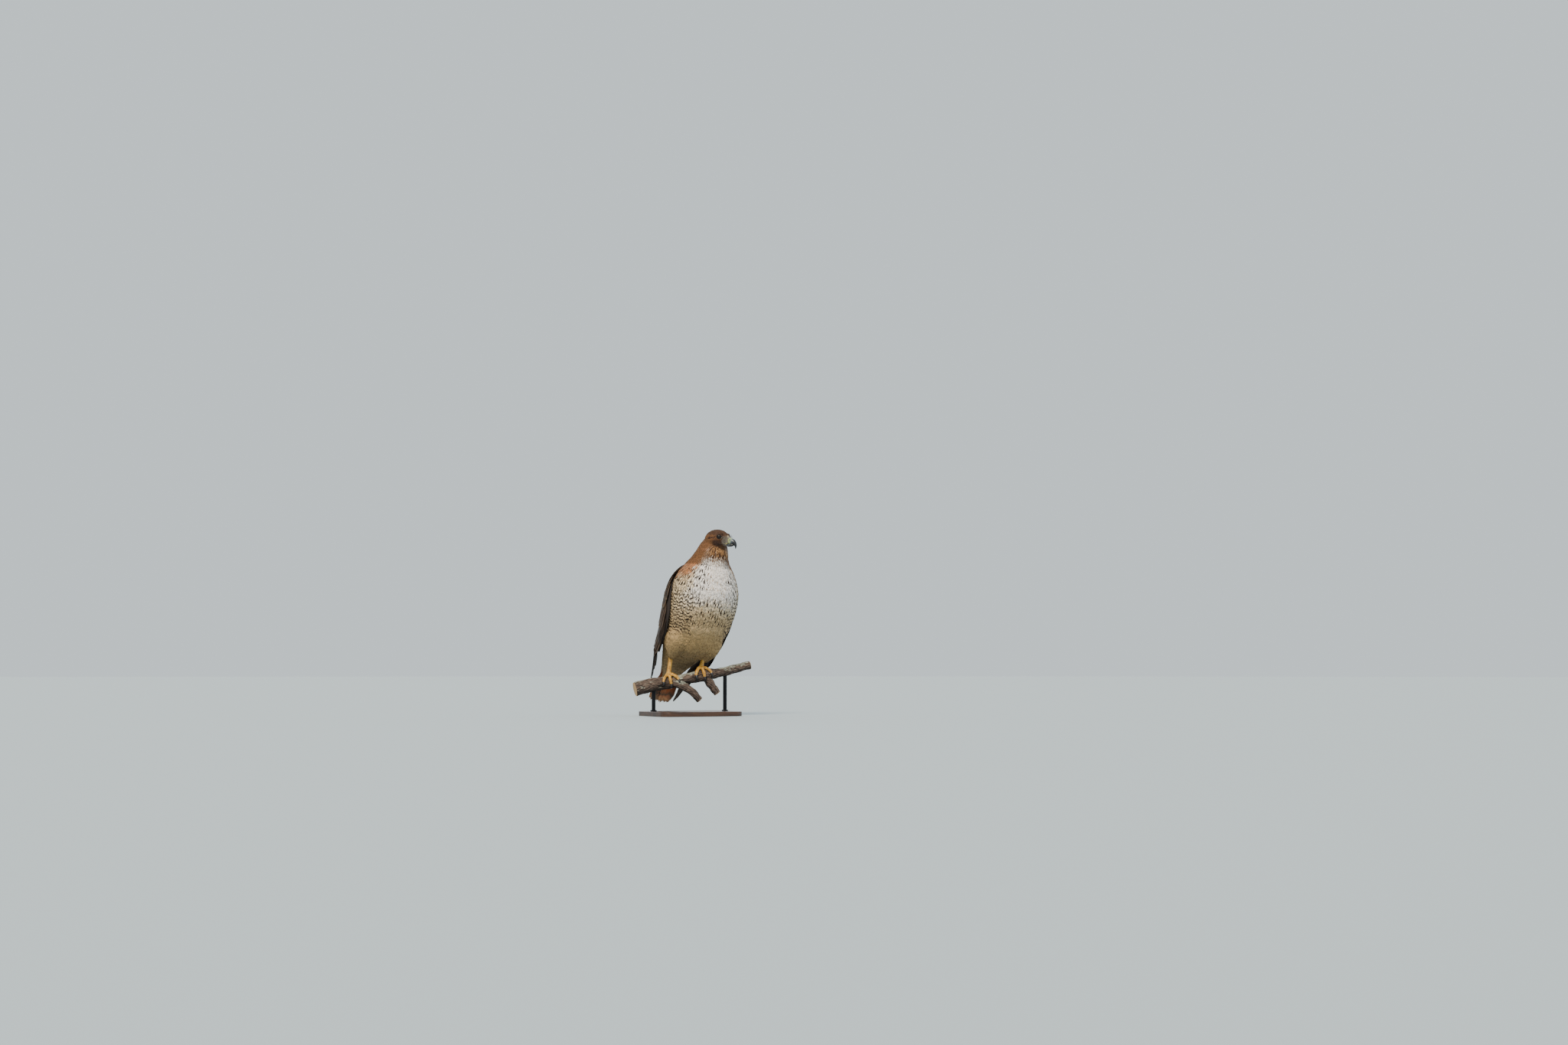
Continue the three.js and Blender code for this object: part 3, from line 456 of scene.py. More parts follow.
# %% Rules of the plumage
def markings(where):
    """The look of the plumage at places, one rule after another, each blended over the last."""
    angle, up = np.abs(where["angle"]), where["up"]
    look = Look(len(up))
    # Below the belt the feathers are plain, with painted shade where the belly turns in between the legs
    look.blend(smooth(118, 84, up), "tan", pattern=(0, 0, 0.1))
    look.blend(smooth(70, 40, up) * smooth(60, 30, angle), "shade")
    look.blend(smooth(24, 4, up), "vent", "russet", (0.1, 0.15, 0.1))
    # The breast whitens upwards, and to its middle
    look.blend(smooth(120, 190, up) * smooth(100, 60, angle), "cream")
    look.blend(smooth(150, 205, up) * smooth(74, 34, angle), "white")
    # Flanks, belt, streaks beside the bib, and the bib
    look.blend(smooth(88, 106, up) * smooth(228, 200, up) * smooth(22, 40, angle), pattern=(0.24, 1, 0))
    belt = smooth(112, 130, up) * smooth(204, 184, up) * smooth(44, 26, angle)
    look.blend(belt, pattern=(0.5, 0.3, 0))
    beside = smooth(18, 24, angle) * smooth(190, 210, up)
    look.blend(beside, None, "black", (0.58, 0, 0))
    look.blend(beside * smooth(40, 66, angle) * smooth(262, 240, up), "cream", "black", (0.58, 0.5, 0))
    bib = smooth(26, 18, angle) * smooth(186, 200, up)
    look.blend(bib, "white", "straw", (0.2, 0, 0))
    look.blend(smooth(46, 64, angle) * smooth(228, 256, up), "rust", "brown", (0.5, 0, 0.2))
    # Back
    look.blend(smooth(92, 110, angle) * smooth(6, 30, up), "back", "soot", (0.45, 0, 0.4))
    look.blend(smooth(92, 110, angle) * smooth(34, 10, up), "rust", "russet", (0.4, 0.3, 0.4))
    # Neck: dark streaks run up from the bib in front, and it is mottled behind
    front = smooth(62, 34, angle)
    streaky = smooth(0.5, 0.62, 0.5 + 0.5 * np.cos(where["angle"] / 9 * 2 * pi))
    look.blend(smooth(284, 304, up) * front, "gold", "brown", (0.5, 0, 0.3))
    look.blend(smooth(272, 300, up) * front * streaky, "throat", "brown", (0.6, 0, 0.1))
    look.blend(smooth(258, 290, up) * (1 - front), "nape", "brown", (0.5, 0, 0.5))
    look.blend(0.6 * smooth(262, 290, up) * smooth(90, 140, angle), "crown")
    # Head
    left, ahead, high = np.abs(where["head"][:, 0]), -where["head"][:, 1], where["head"][:, 2]
    is_head = where["is_head"]
    look.blend(is_head, "nape", "brown", (0.4, 0, 0.4))
    look.blend(is_head * smooth(7, 13, high + 0.12 * ahead), "crown", "soot", (0.4, 0, 0.25))
    look.blend(is_head * smooth(-9, 5, ahead) * smooth(1, -7, high), "cheek", "soot", (0.3, 0, 0.12))
    look.blend(is_head * smooth(-10, -18, high) * smooth(16, 9, left), "throat", "brown", (0.4, 0, 0.4))
    look.blend(is_head * smooth(19, 25, ahead) * smooth(9, 4, high), "lores", "soot", (0.2, 0, 0))
    look.blend(is_head * smooth(27, 32, ahead) * smooth(3, 7, high), "cream", "brown", (0.3, 0, 0))
    along = (30 - ahead) * 0.8 + (-16 - high) * 0.6
    off = (30 - ahead) * 0.6 - (-16 - high) * 0.8
    stripe = smooth(4.5, 2.2, np.abs(off)) * smooth(-2, 3, along) * smooth(34, 26, along) * smooth(5, 8, left)
    look.blend(is_head * stripe, "chinstripe", "brown", (0.15, 0, 0))
    # A dark line runs back from the eye
    eye_line = smooth(3.4, 1.4, np.abs(high - 3.5)) * smooth(9, 3, ahead) * smooth(-20, -8, ahead)
    look.blend(is_head * eye_line, "cheek", "soot", (0.3, 0, 0))
    return look


print("colours", len(PALE) + len(DARK))

# %% [markdown]
# ## How a feather is made
# Every small feather is a thin, closed vane: a grid over its upper face, and one line of points beneath, its
# keel, that gives it thickness. The keel stops short of the tip, so that the under side never shows round
# it. The outline is narrow at the root and rounded at the tip, where each column of the grid ends at its own
# length, so that the edge looks frayed. Each point is dropped on the skin and lifted again, little at the
# root and more at the tip, so that feathers follow the form and lie over one another like tiles. Real vanes
# are loose and catch the light softly, so upper faces take part of their shading from the form below.

# %% Vanes
def vane_faces(rows, columns):
    """Triangles of one vane: a grid of rows + 1 by columns + 1 points, then rows + 1 points beneath."""
    wide = columns + 1
    under = (rows + 1) * wide
    faces = []
    for r in range(rows):
        for c in range(columns):
            a = r * wide + c
            faces += [(a, a + 1, a + 1 + wide), (a, a + 1 + wide, a + wide)]
        first, last, low = r * wide, r * wide + columns, under + r
        faces += [(first, first + wide, low + 1), (first, low + 1, low)]
        faces += [(last, low, low + 1), (last, low + 1, last + wide)]
    for c in range(columns):
        faces.append((c, under, c + 1))
        tip = rows * wide + c
        faces.append((tip, tip + 1, under + rows))
    return np.array(faces)

# %% Many pieces in one mesh
def joined_mesh(name, points, faces, uv, patches, attributes, facing=None):
    """One object from many like pieces. points is pieces × points × 3, and the rest go with its points."""
    pieces, size = points.shape[:2]
    # A piece whose faces point inwards has a negative volume, so its faces are turned
    a, b, c = np.moveaxis(points[:, faces] - points.mean(1)[:, None, None], 2, 0)
    inwards = (a * np.cross(b, c)).sum((1, 2)) < 0
    every = np.where(inwards[:, None, None], faces[:, ::-1], faces)
    every = (every + (np.arange(pieces) * size)[:, None, None]).reshape(-1, 3)
    mesh = bpy.data.meshes.new(name)
    mesh.vertices.add(pieces * size)
    mesh.loops.add(every.size)
    mesh.polygons.add(len(every))
    mesh.vertices.foreach_set("co", points.astype(np.float32).ravel())
    mesh.loops.foreach_set("vertex_index", every.astype(np.int32).ravel())
    mesh.polygons.foreach_set("loop_start", np.arange(0, every.size, 3, dtype=np.int32))
    mesh.polygons.foreach_set("use_smooth", np.ones(len(every), bool))
    for layer, places in (("vane", uv), ("OFBake", patches)):
        if places is not None:
            corner = places.reshape(-1, 2)[every.ravel()].astype(np.float32)
            mesh.uv_layers.new(name=layer).data.foreach_set("uv", corner.ravel())
    for title, values in attributes.items():
        if len(values) == pieces:
            values = np.repeat(values, size, axis=0)
        set_attribute(mesh, title, values)
    mesh.update()
    mesh.validate()
    if facing is not None:
        # The corners of upper faces turn towards the form below, and zeros leave the others as they are
        soft = np.zeros(points.shape)
        soft[:, :facing.shape[1]] = SOFTNESS * facing
        soft = unit(normals_of(mesh) + soft.reshape(-1, 3))[every.ravel()]
        soft[np.repeat(np.tile((faces >= facing.shape[1]).any(1), pieces), 3)] = 0
        mesh.normals_split_custom_set(soft.tolist())
    made = bpy.data.objects.new(name, mesh)
    bpy.context.collection.objects.link(made)
    print(name, pieces, "feathers", len(every), "triangles")
    return made


def set_attribute(mesh, title, values):
    if title in ("pattern", "flow", "polar", "grain"):
        layer = mesh.attributes.new(title, "FLOAT_VECTOR", "POINT")
        layer.data.foreach_set("vector", values.astype(np.float32).ravel())
    else:
        layer = mesh.attributes.new(title, "FLOAT_COLOR", "POINT")
        full = np.hstack([values, np.ones((len(values), 1))])
        layer.data.foreach_set("color", full.astype(np.float32).ravel())

# %% Keels, and places on the bake's map
KEEL_BACK = 0.12  # of its steps, how far behind a vane's tip its under side ends, so that it never shows
SOFTNESS = 1.2  # how far small feathers take their shading from the form below, as loose vanes do
COLUMN = 10  # degrees round the body from one column of markings to the next
PATCH = 0.003  # width of a feather's place on the bake's map


def patches_for(centres, uv):
    """Each feather's own small square on the bake's map, round its root's place there."""
    low, high = centres.min(0), centres.max(0)
    spread = 0.02 + 0.96 * (centres - low) / np.maximum(high - low, 1e-9)
    return spread[:, None, :] + (uv - 0.5) * PATCH


def keel_line(line):
    """The middle line of each vane again, drawn back from its tip."""
    at = np.arange(line.shape[1]) * (1 - KEEL_BACK)
    i = at.astype(int)
    w = (at - i)[:, None]
    return line[:, i] * (1 - w) + line[:, np.minimum(i + 1, line.shape[1] - 1)] * w

# %% Coats
def dropped(tree, points):
    """The nearest places on the skin, with its normals there."""
    shape = points.shape
    found = [tree.find_nearest(p) for p in points.reshape(-1, 3).tolist()]
    near = np.array([f[0] for f in found]).reshape(shape)
    facing = np.array([f[1] for f in found]).reshape(shape)
    return near, facing

# %% One coat
def coat(name, tree, roots, normals, size, rows, columns, seed):
    """Feathers over the skin. size holds each one's length, width, rise, camber, fray and wildness."""
    rng = np.random.default_rng(seed)
    count, wide = len(roots), columns + 1
    length, width = size["length"][:, None] * MM, size["width"][:, None] * MM
    grown = whereabouts(roots)
    lie = lie_of(grown, normals)
    yaw = rng.normal(0, 1, (count, 1)) * np.radians(size["wild"][:, None])
    lie = lie * np.cos(yaw) + np.cross(normals, lie) * np.sin(yaw)
    spine, heads, facings = [roots], [lie], [normals]
    for _ in range(rows):
        place, facing = dropped(tree, spine[-1] + heads[-1] * length / rows)
        head = lie_of(whereabouts(place), facing)
        head = unit(heads[-1] * 0.55 + head * 0.45)
        spine.append(place)
        heads.append(unit(head - facing * (head * facing).sum(1, keepdims=True)))
        facings.append(facing)
    v = np.linspace(0, 1, rows + 1)[:, None]
    u = np.linspace(-1, 1, wide)[None]
    profile = (0.4 + 0.6 * smooth(0, 0.5, v)) * (1 - 0.3 * smooth(0.7, 1, v))
    fray = rng.uniform(-1, 0.35, (count, 1, wide)) * size["fray"][:, None, None] * v**3 * (1 - 0.5 * u**2)
    back = -0.45 * np.abs(u) ** 2.2 * smooth(0.5, 1, v) + fray
    middle, ahead, out = np.stack(spine, 1), np.stack(heads, 1), np.stack(facings, 1)
    side = np.cross(out, ahead)
    flat = middle[:, :, None] + side[:, :, None] * (width[:, :, None] / 2 * profile * u)[..., None]
    flat = flat + ahead[:, :, None] * (width[:, :, None] * back)[..., None]
    place, facing = dropped(tree, flat)
    facing = unit(facing + out[:, :, None] * 1.5)
    tilt = rng.normal(0, 0.12, (count, 1, 1))
    rise = size["rise"][:, None, None] * (1 + rng.normal(0, 0.12, (count, 1, 1)))
    lift = -0.8 + (rise + 0.8) * v**0.9 + tilt * u * v
    lift = lift - size["camber"][:, None, None] * np.abs(u) ** 2 * (0.3 + 0.7 * v)
    top = place + facing * (lift * MM)[..., None]
    thick = (0.7 - 0.2 * v[:, 0])[None] * np.minimum(1, size["width"][:, None] / 10)
    centre = columns // 2
    beneath = keel_line(top[:, :, centre]) - facing[:, :, centre] * (thick * MM)[..., None]
    points = np.concatenate([top.reshape(count, -1, 3), beneath], 1)
    uv = np.stack(np.broadcast_arrays((u + 1) / 2, v), -1).reshape(-1, 2)
    under = np.stack([np.full(rows + 1, 0.5), v[:, 0]], 1)
    uv = np.broadcast_to(np.vstack([uv, under]), (count, len(uv) + rows + 1, 2))
    seen = top[:, int(rows * 0.8), centre]
    where = whereabouts(seen)
    jitter = rng.normal(0, 1, (count, 3)) * 4
    where = {**where, "angle": where["angle"] + jitter[:, 0], "up": where["up"] + jitter[:, 1]}
    where["head"] = where["head"] + jitter * 0.2
    look = markings(where)
    shade = np.exp(rng.normal(0, 0.045, (count, 1)))
    look.pattern[:, 0] *= np.exp(rng.normal(0, 0.12, count))
    centres = np.stack([grown["angle"], grown["share"]], 1)
    each = whereabouts(points.reshape(-1, 3))
    shift = np.repeat(rng.normal(0, 1, (count, 2)), points.shape[1], axis=0)
    chance = np.repeat(rng.random(count), points.shape[1])
    column = (each["angle"] + 180) / COLUMN + shift[:, 0] * 0.12
    flow = np.column_stack([column, each["run"] + shift[:, 1], chance])
    return joined_mesh(name, points, vane_faces(rows, columns), uv, patches_for(centres, uv), {
        "ground": look.ground * shade, "mark": look.mark * shade, "pattern": look.pattern, "flow": flow},
        facing.reshape(count, -1, 3))

# %% Places for feathers
def strewn(mesh, count, seed, thicker):
    """Random places over a mesh, by area, with its normals. thicker(places) gives each face a weight."""
    rng = np.random.default_rng(seed)
    mesh.calc_loop_triangles()
    corners = np.empty(len(mesh.loop_triangles) * 3, np.int32)
    mesh.loop_triangles.foreach_get("vertices", corners)
    a, b, c = (points_of(mesh)[corners.reshape(-1, 3)[:, i]] for i in range(3))
    normal = np.cross(b - a, c - a)
    area = np.linalg.norm(normal, axis=1) * thicker((a + b + c) / 3)
    chosen = rng.choice(len(area), count, p=area / area.sum())
    r, s = np.sqrt(rng.random((count, 1))), rng.random((count, 1))
    places = a[chosen] * (1 - r) + b[chosen] * r * (1 - s) + c[chosen] * r * s
    return places, unit(normal[chosen])

# %% Thinned places
def thinned(places, gap):
    """Which places to keep so that no two are nearer than the gap."""
    grid, kept = {}, []
    near = [(i, j, k) for i in (-1, 0, 1) for j in (-1, 0, 1) for k in (-1, 0, 1)]
    cells = np.floor(places / gap).astype(int).tolist()
    for n, ((a, b, c), (x, y, z)) in enumerate(zip(cells, places.tolist())):
        taken = [p for i, j, k in near for p in grid.get((a + i, b + j, c + k), ())]
        if all((px - x) ** 2 + (py - y) ** 2 + (pz - z) ** 2 >= gap**2 for px, py, pz in taken):
            grid.setdefault((a, b, c), []).append((x, y, z))
            kept.append(n)
    return np.array(kept)


print("vane", len(vane_faces(5, 6)), "triangles")

# %% [markdown]
# ## Feathers of the body, neck and head
# Places for feathers are strewn over the skin and thinned until they stand as far apart as real ones do:
# about 1 mm on the face and 5 on the belly. Each region has feathers of its own size and softness. None grow
# in the opening round an eye or on the bill's root.

# %% Regions
skin_tree = BVHTree.FromPolygons(
    points_of(skin.data).tolist(), [tuple(p.vertices) for p in skin.data.polygons])
CANDIDATES = 160000
strewn_places, strewn_normals = strewn(skin.data, CANDIDATES, seed=11, thicker=lambda places:
    1 + 9 * smooth(70, 50, np.linalg.norm(back_in(head_frame, places), axis=1)))
w = whereabouts(strewn_places)
EYE_OUT, EYE_UP = radians(60), radians(3)
# The line of the mouth, in the head's frame
GAPE = np.array([(9.2, -33, -12.4), (12.9, -27, -12), (17.6, -20, -11.8), (20.9, -13.5, -12.3)])
LIPS_CLEAR, EYE_CLEAR, BILL_CLEAR = 2.2, 7.2, 9.8  # mm round them without feathers
EYE_FACING = np.array([sin(EYE_OUT) * cos(EYE_UP), -cos(EYE_OUT) * cos(EYE_UP), sin(EYE_UP)])


def clear_of_face(where):
    """Not in an eye's opening, and not on the root of the bill."""
    head = np.abs(where["head"]) * (1, np.nan, np.nan)
    head[:, 1:] = where["head"][:, 1:]
    lens = EYE + EYE_FACING * 8
    from_bill = np.hypot(head[:, 0], head[:, 2] + 7)
    on_bill = (head[:, 1] < -28) & (from_bill < BILL_CLEAR)
    mouth = spline(GAPE, np.linspace(0, 1, 40))
    on_lips = ((head[:, None] - mouth) ** 2).sum(-1).min(1) < LIPS_CLEAR**2
    clear_of_eye = np.linalg.norm(head - lens, axis=1) > EYE_CLEAR
    return clear_of_eye & ~on_bill & ~on_lips & (head[:, 1] > -37)


angle, up, is_head, is_thigh = np.abs(w["angle"]), w["up"], w["is_head"] > 0.5, w["is_thigh"] > 0.5
is_body = ~is_head & (up <= 288)
hidden = (angle > 116) & (angle < 166) & (up < 236)  # by the folded wings
ON = {
    "face": is_head & (-w["head"][:, 1] > 12),
    "head": is_head & (-w["head"][:, 1] <= 12),
    "neck": ~is_head & (up > 288),
    "breast": is_body & (up > 196) & (angle < 108),
    "belly": ~is_thigh & (up <= 196) & (up > 92) & (angle < 116),
    "vent": ~is_thigh & (up <= 92),
    "thigh_right": is_thigh & (w["body"][:, 0] < 0),
    "thigh_left": is_thigh & (w["body"][:, 0] >= 0),
    "back": is_body & (up > 92) & (angle >= 108) & ~hidden,
}
SIZES = ("length", "width", "rise", "camber", "fray", "wild")
THIGH = ("feather_thigh", (5, 10), 3.6, 28, 8, 1.9, 0.3, 0.45, 7)
REGIONS = {  # slot, rows and columns of a vane, gap between roots in mm, and the sizes above
    "face": ("feather_head", (3, 4), 1.2, 5.8, 2.0, 0.8, 0.15, 0.35, 9),
    "head": ("feather_head", (3, 4), 1.6, 10.5, 2.8, 1.0, 0.2, 0.4, 9),
    "neck": ("feather_head", (4, 6), 2.1, 17, 3.9, 1.6, 0.3, 0.35, 8),
    "breast": ("feather_body", (5, 12), 4.2, 30, 11, 1.8, 0.3, 0.3, 5),
    "belly": ("feather_body", (5, 12), 4.8, 36, 14, 1.8, 0.35, 0.26, 5),
    "vent": ("feather_body", (5, 12), 5, 38, 12, 2.0, 0.35, 0.4, 8),
    "thigh_right": THIGH, "thigh_left": THIGH,
    "back": ("feather_body", (5, 6), 6.6, 38, 19, 3.4, 0.8, 0.14, 5),
}
coats = {}
for number, (name, (slot, grid, gap, *sizes)) in enumerate(REGIONS.items()):
    chosen = np.flatnonzero(ON[name] & clear_of_face(w))
    kept = chosen[thinned(strewn_places[chosen], gap * MM)]
    rng = np.random.default_rng(100 + number)
    size = {key: np.full(len(kept), float(value)) for key, value in zip(SIZES, sizes)}
    size["length"] *= np.exp(rng.normal(0, 0.08, len(kept)))
    size["width"] *= np.exp(rng.normal(0, 0.08, len(kept)))
    coats[name] = coat(f"feathers_{name}", skin_tree, strewn_places[kept], strewn_normals[kept], size,
        *grid, seed=200 + number)

# %% [markdown]
# ## What a feather looks like
# A contour feather is keratin, matt and a little silky: barbs a fraction of a millimetre apart slant out from
# the shaft. The material reads how far across and along its own feather a point is from the map named vane,
# and draws the streak, the crossbars and the pale edge of that feather. On the body, streaks and bars run on
# from feather to feather in columns, as they seem to on the living bird. Along the shaft the barbs are drawn
# some 0.5 to 1.5 mm apart, coarser than real ones, so that they show.

# %% Feather material
def feather_material(name, barbs, roughness, shaft, bars=0.0, chevron=0.0, flowing=False,
        rim_colour="#d8c2a0"):
    """Vanes of keratin: matt, with fine lines where the barbs catch the light, and a darker shaft."""
    material, node, shader = surface(name)
    uv = node("UVMap", uv_map="vane")
    place = node("SeparateXYZ", {0: uv}, out=None)
    across = node("Math", {0: place[0], 1: 2, 2: -1}, operation="MULTIPLY_ADD")
    across = node("Math", {0: across}, operation="ABSOLUTE")
    pattern = node("Attribute", attribute_name="pattern", out="Vector")
    strength = node("SeparateXYZ", {0: pattern}, out=None)
    ground = node("Attribute", attribute_name="ground")
    mark = node("Attribute", attribute_name="mark")
    object_place = node("TexCoord", out="Object")
    ragged = node("TexNoise", {"Vector": object_place, "Scale": 420, "Detail": 2})
    wave = node("MapRange", {0: ragged, 3: -0.22, 4: 0.22})
    if flowing:
        # On the body the markings run through all the feathers, in columns down it
        flow = node("Attribute", attribute_name="flow", out="Vector")
        flow = node("SeparateXYZ", {0: flow}, out=None)
        asides, chances = [], []
        for finer in (1.0, 2.0):  # crossbars, then streaks in closer columns
            x = node("Math", {0: flow[0], 1: finer}, operation="MULTIPLY")
            column = node("Math", {0: x}, operation="FLOOR")
            chances.append(node("TexWhiteNoise", {"W": column}, noise_dimensions="1D"))
            x = node("Math", {0: x}, operation="FRACT")
            x = node("Math", {0: x, 1: 2, 2: -1}, operation="MULTIPLY_ADD")
            asides.append(node("Math", {0: x}, operation="ABSOLUTE"))
        aside, chance = asides[1], chances[1]
        dash = node("Math", {0: flow[1], 1: 1 / DASH, 2: chance}, operation="MULTIPLY_ADD")
        dash = node("Math", {0: dash}, operation="FRACT")
        drop = node("ValToRGB", {0: dash}, stops=[
            (0.0, "#777777"), (0.25, "#ffffff"), (0.72, "#999999"), (0.95, "#000000"),
        ])
        phase = node("Math", {0: flow[1], 1: 2 * pi / BAR}, operation="MULTIPLY")
        phase = node("Math", {0: asides[0], 1: -0.85 * pi, 2: phase}, operation="MULTIPLY_ADD")
        phase = node("Math", {0: chances[0], 1: 2.5, 2: phase}, operation="MULTIPLY_ADD")
    else:
        # Elsewhere each feather has its own: a drop down the shaft, widest near the tip, and chevrons
        aside = across
        drop = node("ValToRGB", {0: place[1]}, stops=[
            (0.3, "#000000"), (0.62, "#9a9a9a"), (0.86, "#ffffff"), (1.0, "#999999"),
        ])
        phase = node("Math", {0: place[1], 1: bars * 2 * pi}, operation="MULTIPLY")
        phase = node("Math", {0: across, 1: chevron * 2 * pi, 2: phase}, operation="MULTIPLY_ADD")
    half = node("Math", {0: drop, 1: strength[0]}, operation="MULTIPLY")
    edge = node("Math", {0: aside, 1: wave}, operation="ADD")
    outside = node("Math", {0: edge, 1: half}, operation="SUBTRACT")
    streak = node("MapRange", {0: outside, 1: -0.08, 2: 0.06, 3: 1, 4: 0},
        interpolation_type="SMOOTHSTEP")
    marked = node("Math", {0: strength[0], 1: 0.02}, operation="GREATER_THAN")
    streak = node("Math", {0: streak, 1: marked}, operation="MULTIPLY")
    phase = node("Math", {0: wave, 1: 4, 2: phase}, operation="MULTIPLY_ADD")
    phase = node("Math", {0: phase}, operation="SINE")
    bar = node("MapRange", {0: phase, 1: 0, 2: 0.75}, interpolation_type="SMOOTHSTEP")
    bar = node("Math", {0: bar, 1: strength[1]}, operation="MULTIPLY")
    marked = node("Math", {0: streak, 1: bar}, operation="MAXIMUM")

    # A pale edge round the tip and sides, and a darker shaft
    rim = node("Math", {0: place[1], 1: 0.9}, operation="MULTIPLY")
    rim = node("Math", {0: rim, 1: across}, operation="MAXIMUM")
    rim = node("MapRange", {0: rim, 1: 0.66, 2: 0.9}, interpolation_type="SMOOTHSTEP")
    rim = node("Math", {0: rim, 1: strength[2]}, operation="MULTIPLY")
    light = node("MixRGB", {0: 0.55, 1: ground, 2: rgba(rim_colour)})
    colour = node("MixRGB", {0: marked, 1: ground, 2: mark})
    colour = node("MixRGB", {0: rim, 1: colour, 2: light})
    line = node("MapRange", {0: across, 1: shaft * 0.6, 2: shaft, 3: 0.7, 4: 0})
    colour = node("MixRGB", {0: line, 1: colour, 2: rgba("#2e2018")})

    # Barbs slant out from the shaft, and some stand apart. Painted light and shade: each barb is lighter on
    # its crest and darker between
    slant = node("Math", {0: across, 1: -barbs * 0.35}, operation="MULTIPLY")
    barb = node("Math", {0: place[1], 1: barbs, 2: slant}, operation="MULTIPLY_ADD")
    barb = node("Math", {0: wave, 1: 1.5, 2: barb}, operation="MULTIPLY_ADD")
    barb = node("Math", {0: barb, 1: 2 * pi}, operation="MULTIPLY")
    barb = node("Math", {0: barb}, operation="SINE")
    tint = node("MapRange", {0: barb, 1: -1, 2: 1, 3: 0.87, 4: 1.06})
    mottle = node("TexNoise", {"Vector": object_place, "Scale": 130, "Detail": 3})
    mottle = node("MapRange", {0: mottle, 1: 0.3, 2: 0.7, 3: 0.86, 4: 1.12})
    tint = node("Math", {0: tint, 1: mottle}, operation="MULTIPLY")
    colour = node("VectorMath", {0: colour, 3: tint}, operation="SCALE")
    bump = node("Bump", {"Height": barb, "Strength": 0.25, "Distance": 0.0003})
    wire(shader, {
        "Base Color": colour, "Normal": bump, "Roughness": roughness, "IOR": 1.45,
        "Specular IOR Level": 0.25,
    })
    return material


DASH, BAR = 24, 7.4  # mm from one streak to the next, and from one crossbar to the next
contour = feather_material("keratin_contour_feather", barbs=52, roughness=0.7, shaft=0.02, flowing=True)
small = feather_material("keratin_small_feather", barbs=14, roughness=0.75, shaft=0.001, rim_colour="#b5854f")
for name, piece in coats.items():
    finished(piece, small if name in ("face", "head", "neck") else contour, REGIONS[name][0])

# %% [markdown]
# ## Bristles of the lores
# Between eye and bill a hawk has no vanes, only sparse bristles, bare shafts that sweep forward and up over
# the cere. Each is a thin tapered tube of three sides, bent once.

# %% Bristles
BRISTLES, BRISTLE_ROWS, BRISTLE_GAP = 260, 6, 1.2


def bristles():
    """Bare shafts between eye and bill, as one object."""
    rng = np.random.default_rng(90)
    left, ahead, high = np.abs(w["head"][:, 0]), -w["head"][:, 1], w["head"][:, 2]
    lores = (ahead > 20) & (ahead < 31) & (high > -10.5) & (high < 7) & (left > 4) & (w["is_head"] > 0.5)
    chosen = rng.permutation(np.flatnonzero(lores & clear_of_face(w)))
    chosen = chosen[thinned(strewn_places[chosen], BRISTLE_GAP * MM)][:BRISTLES]
    root, out = strewn_places[chosen], strewn_normals[chosen]
    count = len(root)
    head = w["head"][chosen]
    sweep = np.stack([0.25 * np.sign(head[:, 0]), -np.ones(count), 0.05 * head[:, 2] + 0.35], 1)
    sweep = turned(head_frame, unit(sweep + rng.normal(0, 0.22, (count, 3))))
    length = rng.uniform(4.5, 8.5, count)[:, None, None] * MM
    t = np.linspace(0, 1, BRISTLE_ROWS)[None, :, None]
    path = root[:, None] + length * (out[:, None] * (0.5 * t - 0.25 * t**2) + sweep[:, None] * t)
    side = unit(np.cross(sweep, out))
    over = unit(np.cross(side, sweep))
    rings = []
    for turn in (0, 2 * pi / 3, 4 * pi / 3):
        away = side * cos(turn) + over * sin(turn)
        rings.append(path + away[:, None] * (0.13 * (1 - t) + 0.015) * MM)
    points = np.stack(rings, 2).reshape(count, -1, 3)
    faces = [(0, 2, 1), (BRISTLE_ROWS * 3 - 3, BRISTLE_ROWS * 3 - 2, BRISTLE_ROWS * 3 - 1)]
    for r in range(BRISTLE_ROWS - 1):
        for c in range(3):
            a, b = r * 3 + c, r * 3 + (c + 1) % 3
            faces += [(a, b, b + 3), (a, b + 3, a + 3)]
    uv = np.stack([np.full(BRISTLE_ROWS * 3, 0.5), np.repeat(np.linspace(0, 1, BRISTLE_ROWS), 3)], 1)
    uv = np.broadcast_to(uv, (count, *uv.shape))
    centres = w["head"][chosen][:, 1:] + (80 * (w["head"][chosen][:, :1] > 0)) * (1, 0)
    tone = np.where(rng.random((count, 1)) < 0.6, linear("#171210"), linear("#8f867a"))
    made = joined_mesh("bristles_lores", points, np.array(faces), uv, patches_for(centres, uv[0]), {
        "ground": tone, "mark": tone, "pattern": np.zeros((count, 3))})
    finished(made, small, "feather_head")


bristles()

# %% Skin material
# Down is loose and rough, in tufts about 2 mm across, and dimmed to paint shade in the gaps between feathers
down, node, shader = surface("down_over_skin")
look = markings(whereabouts(points_of(skin.data)))
set_attribute(skin.data, "ground", look.ground)
ground = node("Attribute", attribute_name="ground")
place = node("TexCoord", out="Object")
fluff = node("TexNoise", {"Vector": place, "Scale": 500, "Detail": 4})
# Painted shade: the skin shows only between feathers, so its colour is darkened, unevenly by tufts
fluff_and_gap_shade = node("MapRange", {0: fluff, 1: 0.3, 2: 0.7, 3: 0.5, 4: 0.9})
colour = node("VectorMath", {0: ground, 3: fluff_and_gap_shade}, operation="SCALE")
bump = node("Bump", {"Height": fluff, "Strength": 0.6, "Distance": 0.0008})
wire(shader, {"Base Color": colour, "Normal": bump, "Roughness": 0.85})
finished(skin, down, "feather_body", *FLESH)

